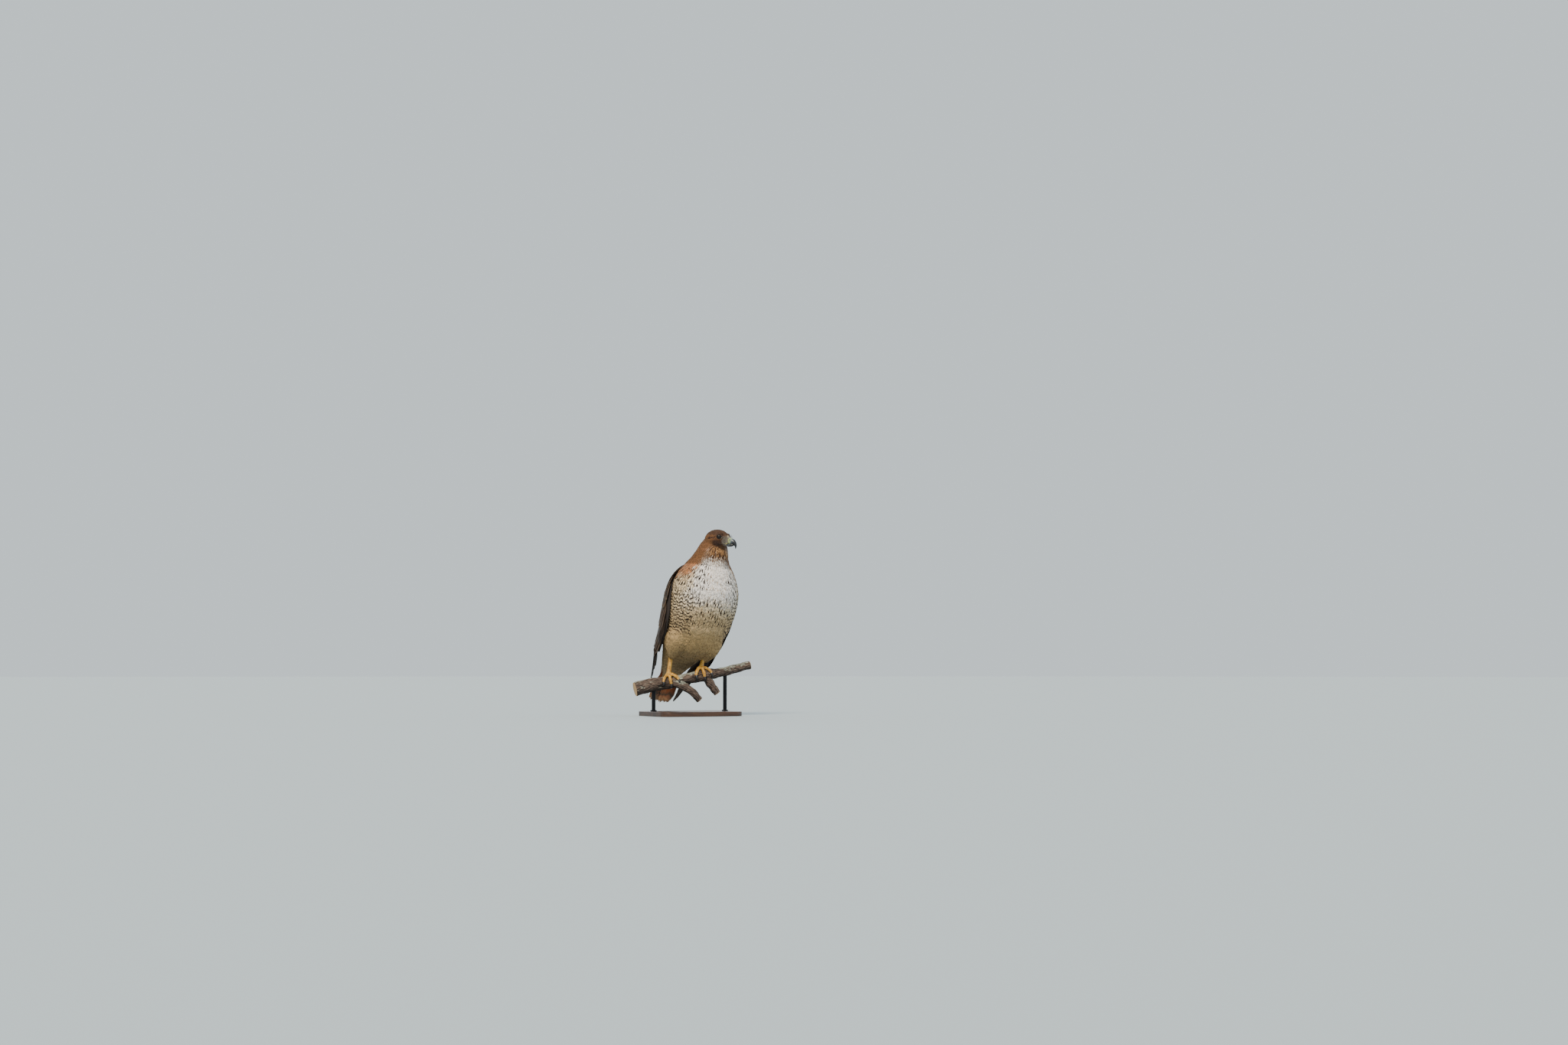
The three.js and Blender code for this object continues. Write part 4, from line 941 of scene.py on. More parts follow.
# %% [markdown]
# ## Folded wings
# A folded wing is tiers of feathers that all start in a thin pad of skin, muscle and down over the flank.
# The long primaries lie lowest and reach furthest. The secondaries lie over them, then greater, median and
# lesser coverts in rows like tiles, and the scapulars over the shoulder. Each tier is laid on the same
# surface as in the solids, with as many feathers as the bird has where they show. The long ones have a raised
# shaft, all have a rounded end, and the front edge of each lies over the back edge of the one before it.

# %% Long feathers
def edge_at(side, share):
    edge = WING_EDGE[SIDE_NAMES[side]]
    return np.interp(share * (len(edge) - 1), range(len(edge)), edge)


def lerp(pair, share):
    return pair[0] + (pair[1] - pair[0]) * share


def vane_steps(rows):
    """Rows along a feather, closer together towards its tip."""
    return 1 - (1 - np.linspace(0, 1, rows + 1)) ** 1.5


SHAFTED = np.array([-1, -0.75, -0.5, -0.25, -0.06, 0, 0.06, 0.25, 0.5, 0.75, 1])
PLAIN = np.linspace(-1, 1, 7)


def blades(middle, facing, covered, width, thick, columns, rng, taper=0.35, narrow=0.0, rise=1.0, fray=0.05,
        bend=90.0):
    """Points of feathers along middles: feathers × rows × 3, in the bird's frame, in millimetres."""
    rows = middle.shape[1] - 1
    v = vane_steps(rows)[None, :]
    way = unit(np.gradient(middle, axis=1))
    across = unit(np.cross(way, facing))
    across *= np.sign((across * covered).sum(-1, keepdims=True))
    length = np.linalg.norm(middle[:, -1] - middle[:, 0], axis=1)[:, None]
    width = np.broadcast_to(width, (len(middle),))[:, None]
    near_tip = smooth(1 - 1.1 * width / length, 1.0, v)
    half = (width / 2 * (0.5 + 0.5 * smooth(0, 0.35, v)) * (1 - narrow * smooth(0.35, 1, v))
        * (1 - taper * near_tip))
    u = columns[None, None, :]
    offset = half[..., None] * u
    notched = rng.random((len(middle), rows + 1, len(columns))) < 0.14
    offset = offset * (1 - 0.12 * (np.abs(u) > 0.9) * notched)
    pull = -0.42 * width[..., None] * np.abs(u) ** 2.3 * near_tip[..., None]
    worn = rng.uniform(0, 2, (len(middle), 1, len(columns)))
    pull = pull - fray * width[..., None] * worn * v[..., None] ** 6
    lift = -u * rise * half[..., None] / (width[..., None] / 2) - offset**2 / (2 * bend)
    ridge = (np.abs(u) < 0.01) * (len(columns) > 7) * 0.55 * (1 - 0.7 * v[..., None])
    top = middle[:, :, None] + across[:, :, None] * offset[..., None] + way[:, :, None] * pull[..., None]
    top = top + facing[:, :, None] * (lift + ridge)[..., None]
    centre = len(columns) // 2
    deep = (thick * (1 - 0.6 * v) + 0.2)[..., None]
    beneath = keel_line(top[:, :, centre]) - facing * deep
    points = np.concatenate([top.reshape(len(middle), -1, 3), beneath], 1)
    uv = np.stack(np.broadcast_arrays((u[0] + 1) / 2, v.T), -1).reshape(-1, 2)
    uv = np.vstack([uv, np.stack([np.full(rows + 1, 0.5), v[0]], 1)])
    return placed(posture, points), np.broadcast_to(uv, (len(middle), *uv.shape))

# %% Feathers laid on a wing
def laid_on_wing(side, root, tip, behind, level, rows, dip):
    """The middles of feathers on a wing, with the way they face and the way to their covered edges."""
    v = vane_steps(rows)[None]
    share = root[:, None] + (tip - root)[:, None] * v
    degrees_behind = behind[0][:, None] + (behind[1] - behind[0])[:, None] * v
    angle = side * (edge_at(side, share) + degrees_behind)
    over = np.asarray(level)[..., None] - dip * (1 - np.minimum(1, v / 0.59))
    middle = wrap_at(share, angle, over)
    facing = unit(wrap_at(share, angle, over + 5) - middle)
    return middle, facing, unit(wrap_at(share, angle + side * 5, over) - middle)

# %% Tiers of a wing
ROWS_LONG, ROWS_SMALL = 14, 5
FLIGHT = {
    # number, share down the wing at root and tip, degrees behind its front edge at root and at tip
    # then width, height over the wing, thickness and narrowing, and colour, pale edge and bars
    "primaries": (7, (0.54, 0.5), (1, 0.8), ((9, 40), (10, 48)),
        (18, 22), -0.4, 1.4, 0.35, "#29211e", 0.12, 0.15),
    "secondaries": (10, (0.4, 0.36), (0.7, 0.62), ((14, 88), (17, 95)),
        (34, 36), -0.4, 1.3, 0, "#382b24", 0.3, 0.35),
    "tertials": (4, (0.34, 0.3), (0.54, 0.6), ((70, 92), (74, 100)),
        (30, 34), 0.4, 1.3, 0, "#3b2e26", 0.3, 0.35),
    "primary_coverts": (6, (0.38, 0.36), (0.57, 0.51), ((8, 17), (8, 20)),
        (13, 15), 0.7, 1.2, 0, "#2c2320", 0.15, 0),
    "greater_coverts": (12, (0.28, 0.23), (0.46, 0.41), ((16, 80), (18, 86)),
        (23, 26), 0.8, 1.3, 0, "#3a2c25", 0.35, 0.3),
}


def flight_feathers(side):
    """The long feathers of a wing and their coverts, tier by tier, as one object."""
    rng = np.random.default_rng(40 + (side > 0))
    tiers = []
    for count, root, tip, behind, width, level, thick, narrow, colour, edge, bars in FLIGHT.values():
        share = np.linspace(0, 1, count)
        root, tip, width = (lerp(pair, share) for pair in (root, tip, width))
        tip = tip - 0.008 * (np.arange(count) % 2) + rng.normal(0, 0.003, count)
        level = level + 0.5 * (side > 0) + np.linspace(0, 0.6, count)
        behind = [lerp(pair, share) for pair in behind]
        laid = laid_on_wing(side, root, tip, behind, level, ROWS_LONG, thick + 1.5)
        points, uv = blades(*laid, width, thick, SHAFTED, rng, narrow=narrow)
        ground = np.tile(linear(colour), (count, 1)) * np.exp(rng.normal(0, 0.1, (count, 1)))
        mark = np.tile(linear("#1c1512"), (count, 1))
        tiers.append((points, uv, ground, mark, np.tile([0, bars, edge], (count, 1))))
    points, uv, ground, mark, pattern = (np.concatenate(part) for part in zip(*tiers))
    faces = vane_faces(ROWS_LONG, len(SHAFTED) - 1)
    name = f"wing_flight_{SIDE_NAMES[side]}"
    return joined_mesh(name, points, faces, uv, None, {"ground": ground, "mark": mark, "pattern": pattern})

# %% Small coverts and scapulars
def small_coverts(side):
    """Rows of median and lesser coverts and scapulars, from the undermost row up to the shoulder."""
    rng = np.random.default_rng(60 + (side > 0))
    rows = []

    def row(share_from, share_to, first, last, gap, wide, length, high, shade):
        count = max(2, round((last - first) * 1.55 / gap))
        q = np.linspace(0, 1, count)
        rows.append((
            share_from + (share_to - share_from) * q + rng.normal(0, 0.003, count),
            first + (last - first) * q + rng.normal(0, 0.5, count),
            np.full(count, wide) * np.exp(rng.normal(0, 0.07, count)),
            np.full(count, length) * np.exp(rng.normal(0, 0.07, count)),
            np.full(count, high) + rng.normal(0, 0.15, count),
            np.full(count, shade)))

    # Median coverts in two rows, then lesser coverts, then scapulars
    row(0.185, 0.15, 10, 74, 8.5, 22, 0.145, 1.0, 0)
    row(0.15, 0.118, 8, 72, 8, 20, 0.125, 1.3, 0)
    for step, share in enumerate((0.118, 0.088, 0.06, 0.034, 0.01)):
        row(share, share - 0.03, 4, 72, 7.4 - 0.4 * step, 17 - step, 0.095 - 0.005 * step,
            1.5 + 0.15 * step, 1)
    for step, share in enumerate((0.27, 0.21, 0.15, 0.1, 0.05)):
        row(share - 0.06, share, 60 - 2 * step, 100 - 5 * step, 9, 25, 0.17, 2.0 + 0.3 * step, 2)
    root, behind, width, long, level, tone = map(np.concatenate, zip(*rows))
    count = len(root)
    root = np.maximum(root, 0.0)
    tip = root + long
    ends = [behind, behind + 4 + rng.normal(0, 1, count)]
    laid = laid_on_wing(side, root, tip, ends, level + 0.4 * (side > 0), ROWS_SMALL, 3.2)
    points, uv = blades(*laid, width, 0.8, PLAIN, rng, rise=0.6, fray=0.06, taper=0.3)
    grounds = np.array([linear("#3d2f27"), linear("#4a382d"), linear("#46362c")])
    ground = grounds[tone] * np.exp(rng.normal(0, 0.16, (count, 1)))
    pale = (tone == 2) & (rng.random(count) < 0.4)
    ground[pale] = ground[pale] * 0.5 + np.array(linear("#a08a6e")) * 0.5
    pattern = np.stack([np.where(pale, 0.5, 0.4), np.where(pale, 0.6, 0.2), np.full(count, 0.36)], 1)
    centres = np.stack([behind, root * 300], 1)
    faces = vane_faces(ROWS_SMALL, len(PLAIN) - 1)
    name = f"wing_coverts_{SIDE_NAMES[side]}"
    return joined_mesh(name, points, faces, uv, patches_for(centres, uv[0]),
        {"ground": ground, "mark": np.tile(linear("#1f1714"), (count, 1)), "pattern": pattern})

# %% Pads and both wings
PAD_END, PAD_BACK = 0.62, 166  # share down the wing, and degrees round the body


def wing_pad(side):
    """The pad that the feathers grow from: a grid, shaped to the flank, then given thickness."""
    name = f"wing_pad_{SIDE_NAMES[side]}"
    deselect()
    bpy.ops.mesh.primitive_grid_add(x_subdivisions=40, y_subdivisions=24, size=1)
    pad = bpy.context.object
    pad.name = name
    grid = points_of(pad.data)
    share, around = (grid[:, 0] + 0.5) * PAD_END, grid[:, 1] + 0.5
    angle = edge_at(side, share) + 4 + around * (PAD_BACK - edge_at(side, share))
    rim = np.minimum(np.minimum(around, 1 - around) * 5, (PAD_END - share) * 8).clip(0, 1)
    over = -4.2 - 3 * (1 - rim) ** 2
    set_points(pad.data, placed(posture, wrap_at(share, side * angle, over)))
    faces_out()
    modified(pad, "SOLIDIFY", thickness=0.004, offset=0)
    bpy.ops.object.shade_smooth()
    set_attribute(pad.data, "ground", np.tile(linear("#2c221d"), (len(pad.data.vertices), 1)))
    return pad


flight = feather_material(
    "keratin_flight_feather", barbs=110, roughness=0.5, shaft=0.04, bars=7, chevron=0.12,
    rim_colour="#b0906a")
covert = feather_material(
    "keratin_wing_covert", barbs=40, roughness=0.6, shaft=0.04, bars=3, chevron=0.3, rim_colour="#b8976c")
for side, name in SIDE_NAMES.items():
    finished(wing_pad(side), down, "feather_wing")
    finished(flight_feathers(side), flight, "feather_wing", f"wing_{name}")
    finished(small_coverts(side), covert, "feather_wing")

# %% [markdown]
# ## Tail
# Twelve feathers, the middle pair on top, fan a little from under the coverts. The species is named for their
# colour above: rust, with a dark band just before a pale tip. Below they are duller, and these are worn to
# ragged points. The feathers overlap so closely that each is set a millimetre below the last.

# %% Tail feathers
TAIL_ROOT, TAIL_TIP = np.array([-2, 50, 62.0]), np.array([-15, 131, -80.0])
TAIL_SET, TAIL_FAN = (1.5, 1.7), (1.6, 2.7)
ROWS_TAIL = 18


def tail_feathers():
    rng = np.random.default_rng(70)
    reach = TAIL_TIP - TAIL_ROOT
    length = np.linalg.norm(reach)
    along = reach / length
    across = unit(np.array([1.0, 0, 0]) - along * along[0])
    back = -np.cross(along, across)
    v = vane_steps(ROWS_TAIL)[:, None]
    middles, facings, covers = [], [], []
    for i in range(5, -1, -1):
        for side in (-1, 1):
            left = side > 0
            out = side * (TAIL_SET[0] + TAIL_SET[1] * i + v * (TAIL_FAN[0] + TAIL_FAN[1] * i))
            run = v * (length - 0.9 * i - 1.5 * ((i + left) % 2))
            middles.append(TAIL_ROOT + along * run + across * out + back * (-0.95 * i - 0.4 * left))
            facings.append(np.broadcast_to(unit(back + across * side * 0.04 * i), middles[-1].shape))
            covers.append(np.broadcast_to(-side * across, middles[-1].shape))
    middles, facings, covers = (np.array(a) for a in (middles, facings, covers))
    points, uv = blades(middles, facings, covers, np.full(12, 27.0), 0.9, SHAFTED, rng, rise=0.3, fray=0.14,
        taper=0.3, bend=70.0)
    count = len(points)
    along_vane = uv[0, :, 1:]
    ground = np.array(linear("#8a4a28")) * np.exp(rng.normal(0, 0.06, (count, 1, 1)))
    for start, end, colour in ((0.84, 0.87, "#1d1410"), (0.915, 0.94, "#8a4a28"), (0.965, 1.0, "#9a6843")):
        ground = ground + (np.array(linear(colour)) - ground) * smooth(start, end, along_vane)
    ground = ground.reshape(-1, 3)
    made = joined_mesh("tail_feathers", points, vane_faces(ROWS_TAIL, len(SHAFTED) - 1), uv, None, {
        "ground": ground, "mark": np.tile(linear("#1f1612"), (count, 1)),
        "pattern": np.tile([0, 0.1, 0.25], (count, 1))})
    finished(made, rectrix, "feather_tail", "tail")


rectrix = feather_material("keratin_tail_feather", barbs=110, roughness=0.5, shaft=0.016)
tail_feathers()

# %% [markdown]
# ## Bill and cere
# The upper bill is one smooth horn sheath that hooks down past the lower one. Its root is covered by the
# cere, a soft waxy skin with the nostrils in it. Each is a grid primitive rolled into a tube: every place
# of the grid goes to a section along the bill's midline, then the seam is merged and the hidden root end is
# filled. The sides are drawn together under a narrow ridge, and the underside is flat where the mouth
# closes.

# %% Rolled tubes
def rolled(name, rows, sides, ring):
    """A closed tube from a grid primitive: ring(share along, share round) gives places in metres."""
    deselect()
    bpy.ops.mesh.primitive_grid_add(x_subdivisions=rows, y_subdivisions=sides, size=1)
    made = bpy.context.object
    made.name = made.data.name = name
    grid = points_of(made.data) + 0.5
    set_points(made.data, ring(grid[:, 0], grid[:, 1]))
    edited((bpy.ops.mesh.remove_doubles, {"threshold": 2e-6}), (bpy.ops.mesh.fill_holes, {"sides": 0}))
    faces_out()
    bpy.ops.object.shade_smooth()
    return made


# ahead, up, half width, half height, in the head's frame
BILL = [
    (31, -6, 8.6, 8.6), (36, -6.2, 8, 8.4), (41, -7, 7.1, 7.9), (46, -9.5, 5.8, 7), (50, -13.5, 4.2, 5.2),
    (52.3, -18.5, 2.6, 3.2), (52.6, -23.5, 1.2, 1.5), (52, -26.5, 0.4, 0.4),
]
LOWER_BILL = [(30, -15.5, 8, 4.6), (38, -16, 6.6, 4.2), (44, -16, 4.6, 3.2), (47.6, -15.2, 2, 1.4)]
MOUTH, HOOK_FROM = -12.4, 48.4
NOSTRIL = np.array([8, -38.4, -3.4])
CERE_SHARE = 0.298  # of the bill's length, where the cere ends
LEFT = np.array([1.0, 0, 0])

# %% Shape of the bill
def upper_bill_at(share, around, over):
    """A place on the upper bill, round from below: across, back and up in the head's frame."""
    table = np.array(BILL, float)
    middles = np.stack([np.zeros(len(BILL)), -table[:, 0], table[:, 1]], 1)
    size = spline(table[:, 2:], share)
    along = way_along(middles, share, 1e-3)
    ridge = -unit(np.cross(LEFT, along))
    s, c = np.sin(2 * pi * around), -np.cos(2 * pi * around)
    pinch = 1 - 0.2 * np.maximum(c, 0) ** 3
    place = spline(middles, share)
    aside, above = (size[:, 0] * pinch + over) * s, (size[:, 1] + over) * c
    place = place + LEFT * aside[:, None] + ridge * above[:, None]
    # The edge over the mouth is flat, and bows down a little before the hook
    bow = MOUTH - 0.9 * np.exp(-(((-place[:, 1] - 42) / 4) ** 2))
    closed = smooth(HOOK_FROM + 0.8, HOOK_FROM - 1.6, -place[:, 1])
    place[:, 2] += np.maximum(bow - place[:, 2], 0) * closed
    return place


def horn_ring(x, around):
    share = CERE_SHARE - 0.03 + (1.03 - CERE_SHARE) * x
    return placed(head_frame, upper_bill_at(share, around, 0.0))


def cere_ring(x, around):
    share = (CERE_SHARE + 0.012) * x
    over = 0.35 * np.sqrt(np.maximum(1 - x**12, 0)) - 0.5 * smooth(0.97, 1, x)
    place = upper_bill_at(share, around, over)
    for side in (-1, 1):
        nostril = NOSTRIL * (side, 1, 1)
        away = (place - nostril) / (3.2, 2.1, 1.35)
        depth = 1.9 * np.exp(-((away**2).sum(1)) ** 1.6)
        rim = 0.4 * np.exp(-((np.linalg.norm(away, axis=1) - 1.5) / 0.35) ** 2)
        place[:, 0] -= side * (depth - rim)
    return placed(head_frame, place)


def lower_bill_ring(x, around):
    table = np.array(LOWER_BILL, float)
    middles = np.stack([np.zeros(len(table)), -table[:, 0], table[:, 1]], 1)
    size = spline(table[:, 2:], x) * np.sqrt(np.maximum(1 - x**14, 1e-4))[:, None] * (0.9, 1)
    place = spline(middles, x)
    turn = 2 * pi * around
    place = place + np.stack([size[:, 0] * np.sin(turn), 0 * x, -size[:, 1] * np.cos(turn)], 1)
    place[:, 2] = np.minimum(place[:, 2], MOUTH - 0.35)
    return placed(head_frame, place)

# %% Bill, cere and jaw
horn = rolled("bill_upper_horn", 90, 64, horn_ring)
cere = rolled("cere_skin", 90, 120, cere_ring)
jaw = rolled("bill_lower_horn", 50, 48, lower_bill_ring)

# %% Horn and cere materials
def along_bill(piece):
    """How far towards the bill's tip each vertex is, 0 at the cere and 1 at the hook."""
    head = back_in(head_frame, points_of(piece.data))
    return np.clip((-head[:, 1] - 40) / 12 * 0.6 + (-6 - head[:, 2]) / 20 * 0.6, 0, 1)


def ramped(stops, values):
    """Linear colours for values, through stops of value and hex colour."""
    places, colours = [stop[0] for stop in stops], np.array([linear(stop[1]) for stop in stops])
    return np.stack([np.interp(values, places, colours[:, i]) for i in range(3)], 1)


def paint(piece, stops, values):
    set_attribute(piece.data, "ground", ramped(stops, values))


HORN = [(0, "#5f6973"), (0.2, "#434a53"), (0.45, "#22262b"), (0.65, "#121316"), (1, "#090a0b")]
paint(horn, HORN, along_bill(horn))
paint(jaw, HORN, along_bill(jaw) + 0.25)
# Horn grows towards the tip in layers and is polished by use: streaks of about 1 by 8 mm run along it, and
# a soft shine runs over them
keratin, node, shader = surface("horn_of_bill")
ground = node("Attribute", attribute_name="ground")
place = node("TexCoord", out="Object")
grown = node("Mapping", {0: place, 3: (900, 120, 500)})
streaks = node("TexNoise", {"Vector": grown, "Scale": 1, "Detail": 3})
tint = node("MapRange", {0: streaks, 1: 0.3, 2: 0.7, 3: 0.75, 4: 1.2})
colour = node("VectorMath", {0: ground, 3: tint}, operation="SCALE")
gloss = node("MapRange", {0: streaks, 1: 0.3, 2: 0.7, 3: 0.22, 4: 0.42})
bump = node("Bump", {"Height": streaks, "Strength": 0.3, "Distance": 0.0002})
wire(shader, {"Base Color": colour, "Roughness": gloss, "Normal": bump, "IOR": 1.54})

# %% Colours and skin of the cere
head_places = back_in(head_frame, points_of(cere.data))
in_nostril = np.min([np.linalg.norm((head_places - NOSTRIL * (side, 1, 1)) / (3.6, 1.7, 1.1), axis=1)
    for side in (-1, 1)], axis=0)
# The nostrils' openings are painted near black, as painted shade inside them
painted_nostril_shade = smooth(1.05, 0.8, in_nostril)[:, None]
wax = ramped([(0, "#a9a350"), (0.5, "#959c68"), (1, "#7d8c79")], (-head_places[:, 1] - 30) / 12)
set_attribute(cere.data, "ground", wax * (1 - painted_nostril_shade) + np.array(linear("#14110e")) * painted_nostril_shade)
# Cere is soft, moist skin: light sinks a little into it, blotches are 3 mm wide, and its pores, 0.5 mm,
# break the shine
waxy, node, shader = surface("waxy_skin_of_cere")
ground = node("Attribute", attribute_name="ground")
place = node("TexCoord", out="Object")
blotch = node("TexNoise", {"Vector": place, "Scale": 320, "Detail": 4})
tint = node("MapRange", {0: blotch, 1: 0.3, 2: 0.7, 3: 0.8, 4: 1.15})
colour = node("VectorMath", {0: ground, 3: tint}, operation="SCALE")
pores = node("TexVoronoi", {"Vector": place, "Scale": 1800})
bump = node("Bump", {"Height": pores, "Strength": 0.25, "Distance": 0.0002})
wire(shader, {
    "Base Color": colour, "Normal": bump, "Roughness": 0.42, "IOR": 1.42, "Subsurface Weight": 0.12,
    "Subsurface Radius": (0.002, 0.0012, 0.0006),
})
finished(horn, keratin, "bill", "bill_upper")
finished(jaw, keratin, "bill", "bill_lower")
finished(cere, waxy, "cere", "cere")

# %% [markdown]
# ## Eyes
# A hawk's eye is nearly a ball that hardly turns, with a clear cornea that bulges from it. The adult's iris
# is so dark a brown that it is barely told from the pupil. The ball is a sphere primitive with its cornea
# raised, and every vertex knows its angle from the line of sight, so pupil, iris and rim are rings of that
# angle. Round it go two rings made from a torus each: the dark lid's edge, drawn to a point in front, and
# the pale bare skin behind it.

# %% Eyes and lids
EYE_RADIUS = 8.8
EYE_LIFT = 0.7  # mm, how far the cornea bulges
# A wet cornea is the smoothest surface of the bird, and bends light by 1.376, so it shows one small sharp
# reflection over a dark iris
eye_glass, node, shader = surface("eye_wet_cornea_and_iris")
polar = node("Attribute", attribute_name="polar", out="Vector")
parts = node("SeparateXYZ", {0: polar}, out=None)
rays = node("CombineXYZ", {0: parts[1], 1: parts[2]})
rays = node("TexNoise", {"Vector": rays, "Scale": 14, "Detail": 3})
shifted = node("Math", {0: rays, 1: 0.06, 2: parts[0]}, operation="MULTIPLY_ADD")
rings = node("ValToRGB", {0: shifted}, stops=[
    (0.0, "#010101"), (0.29, "#020101"), (0.31, "#1a0d07"), (0.44, "#241208"), (0.52, "#0d0704"),
    (0.58, "#070504"),
])
tint = node("MapRange", {0: rays, 1: 0.35, 2: 0.65, 3: 0.6, 4: 1.5})
colour = node("VectorMath", {0: rings, 3: tint}, operation="SCALE")
wire(shader, {"Base Color": colour, "Roughness": 0.04, "IOR": 1.376})

# %% Skin of the lids
# Bare skin round the eye is pebbled in grains of 0.7 mm, and hardly shines
lid_skin, node, shader = surface("bare_skin_of_eyelid")
ground = node("Attribute", attribute_name="ground")
place = node("TexCoord", out="Object")
grain = node("TexVoronoi", {"Vector": place, "Scale": 1500})
tint = node("MapRange", {0: grain, 1: 0, 2: 0.8, 3: 1.15, 4: 0.7})
colour = node("VectorMath", {0: ground, 3: tint}, operation="SCALE")
bump = node("Bump", {"Height": grain, "Strength": 0.4, "Distance": 0.0003})
wire(shader, {"Base Color": colour, "Normal": bump, "Roughness": 0.7, "IOR": 1.42, "Specular IOR Level": 0.3})

# %% Balls and lids
def eye_axes(side):
    """The eye's middle, the way it looks, forwards along the opening and up, in the head's frame."""
    sight = EYE_FACING * (side, 1, 1)
    up = np.array([0, 0, 1.0]) - sight * sight[2]
    up = unit(up)
    forward = np.cross(up, sight) * side
    return EYE * (side, 1, 1), sight, forward, up


def eye_ball(name, side):
    middle, sight, forward, up = eye_axes(side)
    deselect()
    bpy.ops.mesh.primitive_uv_sphere_add(segments=64, ring_count=48, radius=1)
    made = bpy.context.object
    made.name = made.data.name = f"eye_ball_{name}"
    ball = points_of(made.data)
    polar = np.arccos(np.clip(ball[:, 2], -1, 1))
    reach = EYE_RADIUS + EYE_LIFT * np.exp(-((polar / 0.5) ** 4))
    way = forward * ball[:, :1] + up * ball[:, 1:2] + sight * ball[:, 2:]
    set_points(made.data, placed(head_frame, middle + way * reach[:, None]))
    faces_out()
    bpy.ops.object.shade_smooth()
    around = unit(np.maximum(np.abs(ball[:, :2]), 1e-6) * np.sign(ball[:, :2] + 1e-9))
    set_attribute(made.data, "polar", np.column_stack([polar, around]))
    finished(made, eye_glass, "eye", f"eye_{name}")


def eye_ring(name, side, wide, tall, thick, out, corner, stops):
    """A lid: a torus drawn to an almond on the ball, wide by tall, with points towards bill and ear."""
    middle, sight, forward, up = eye_axes(side)
    deselect()
    bpy.ops.mesh.primitive_torus_add(major_segments=96, minor_segments=16, major_radius=1, minor_radius=0.25)
    made = bpy.context.object
    made.name = made.data.name = f"{name}_{SIDE_NAMES[side]}"
    torus = points_of(made.data)
    turn = np.arctan2(torus[:, 1], torus[:, 0])
    ring_out = (np.hypot(torus[:, 0], torus[:, 1]) - 1) / 0.25
    ring_up = torus[:, 2] / 0.25
    c, s = np.cos(turn), np.sin(turn)
    x = wide * np.sign(c) * np.abs(c) ** 0.92 + corner * np.maximum(c, 0) ** 6
    y = tall * s * (1 - 0.25 * np.abs(c) ** 3) * np.where(s > 0, 0.72, 1)
    size = thick * (1 + 0.25 * s)
    length = np.hypot(x, y)
    x, y = x + x / length * ring_out * size, y + y / length * ring_out * size
    deep = np.sqrt(np.maximum((EYE_RADIUS + out) ** 2 - x**2 - y**2, 4))
    place = middle + forward * x[:, None] + up * y[:, None] + sight * (deep + ring_up * size)[:, None]
    set_points(made.data, placed(head_frame, place))
    faces_out()
    bpy.ops.object.shade_smooth()
    paint(made, stops, np.where(s > 0, np.maximum(c, 0.4 * s), c))
    finished(made, lid_skin, "feather_head")


for side in (-1, 1):
    eye_ball(SIDE_NAMES[side], side)
    eye_ring("lid_edge", side, 6.2, 5, 0.5, 0.3, 1.2, [(-1, "#1d1714"), (1, "#0f0c0b")])
    eye_ring("lid_skin", side, 7, 5.8, 0.8, 0.1, 1.5, [(-1, "#a59a84"), (-0.75, "#5f5344"), (-0.2, "#2b221d"),
        (1, "#332b26")])

# %% [markdown]
# ## Corners of the mouth
# The mouth runs back under the eye between two soft yellowish lips. Each is a thin tapered tube along the
# line of the mouth.

# %% Lips
def lip_ring(side, lift):
    def ring(x, around):
        path, along = spline(GAPE * (side, 1, 1), x), way_along(GAPE * (side, 1, 1), x)
        radius = (1.05 - 0.45 * x) * np.sqrt(np.maximum(1 - (2 * x - 1) ** 10, 1e-4))
        path = path - LEFT * side * (0.5 + 0.5 * x)[:, None]
        over = unit(np.cross(along, LEFT * side))
        across = np.cross(over, along)
        turn = 2 * pi * around
        place = path + across * (radius * np.cos(turn))[:, None] + over * (radius * np.sin(turn))[:, None]
        place[:, 2] += lift * (0.7 - 0.25 * x)
        return placed(head_frame, place)
    return ring


for side in (-1, 1):
    for lift in (-1, 1):
        title = f"lip_{'upper' if lift > 0 else 'lower'}_{SIDE_NAMES[side]}"
        lip = rolled(title, 40, 16, lip_ring(side, lift))
        share = -back_in(head_frame, points_of(lip.data))[:, 1]
        paint(lip, [(13, "#33251d"), (20, "#5d4f38"), (27, "#7d744c"), (32, "#97925f")], share)
        finished(lip, lid_skin, "cere")

# %% [markdown]
# ## Perch
# The perch is a living branch, cut short, with two side branches cut short as well. Its bark is grey-brown,
# fissured lengthways, with paler lichen where rain falls on it. Limb and branches are rolled from grids by
# the same sections as the solids, joined and remeshed into one surface, and the bark is raised on that by
# noise stretched along the grain. Each vertex keeps its place along and across its own branch for the
# pattern.

# %% Perch forms
feet_frame = Matrix.Translation((-12, 0, 112))
HEADING = np.array([cos(radians(-12)), sin(radians(-12)), 0])
UP = np.array([0, 0, 1.0])
LIMB = np.array([
    (-136, -25, 18), (-85, -13, 17.5), (-43, -9.5, 15.5), (0, -2, 13.5),
    (43, 9, 16), (84, 12, 12.5), (125, 20, 11.5), (172, 31, 10.5),
], float)  # along, height of the top, radius
LIMB[:, 1] -= LIMB[:, 2]
LIMB_SPAN = LIMB[-1, 0] - LIMB[0, 0]
FORKS = {
    "front": (-42, [(0, 0, 0), (22, 16, -8), (48, 21, -24), (70, 20, -46)], 10),
    "low": (50, [(0, 0, 0), (9, 5, -18), (20, 6, -34), (31, 6, -48)], 10.5),
}


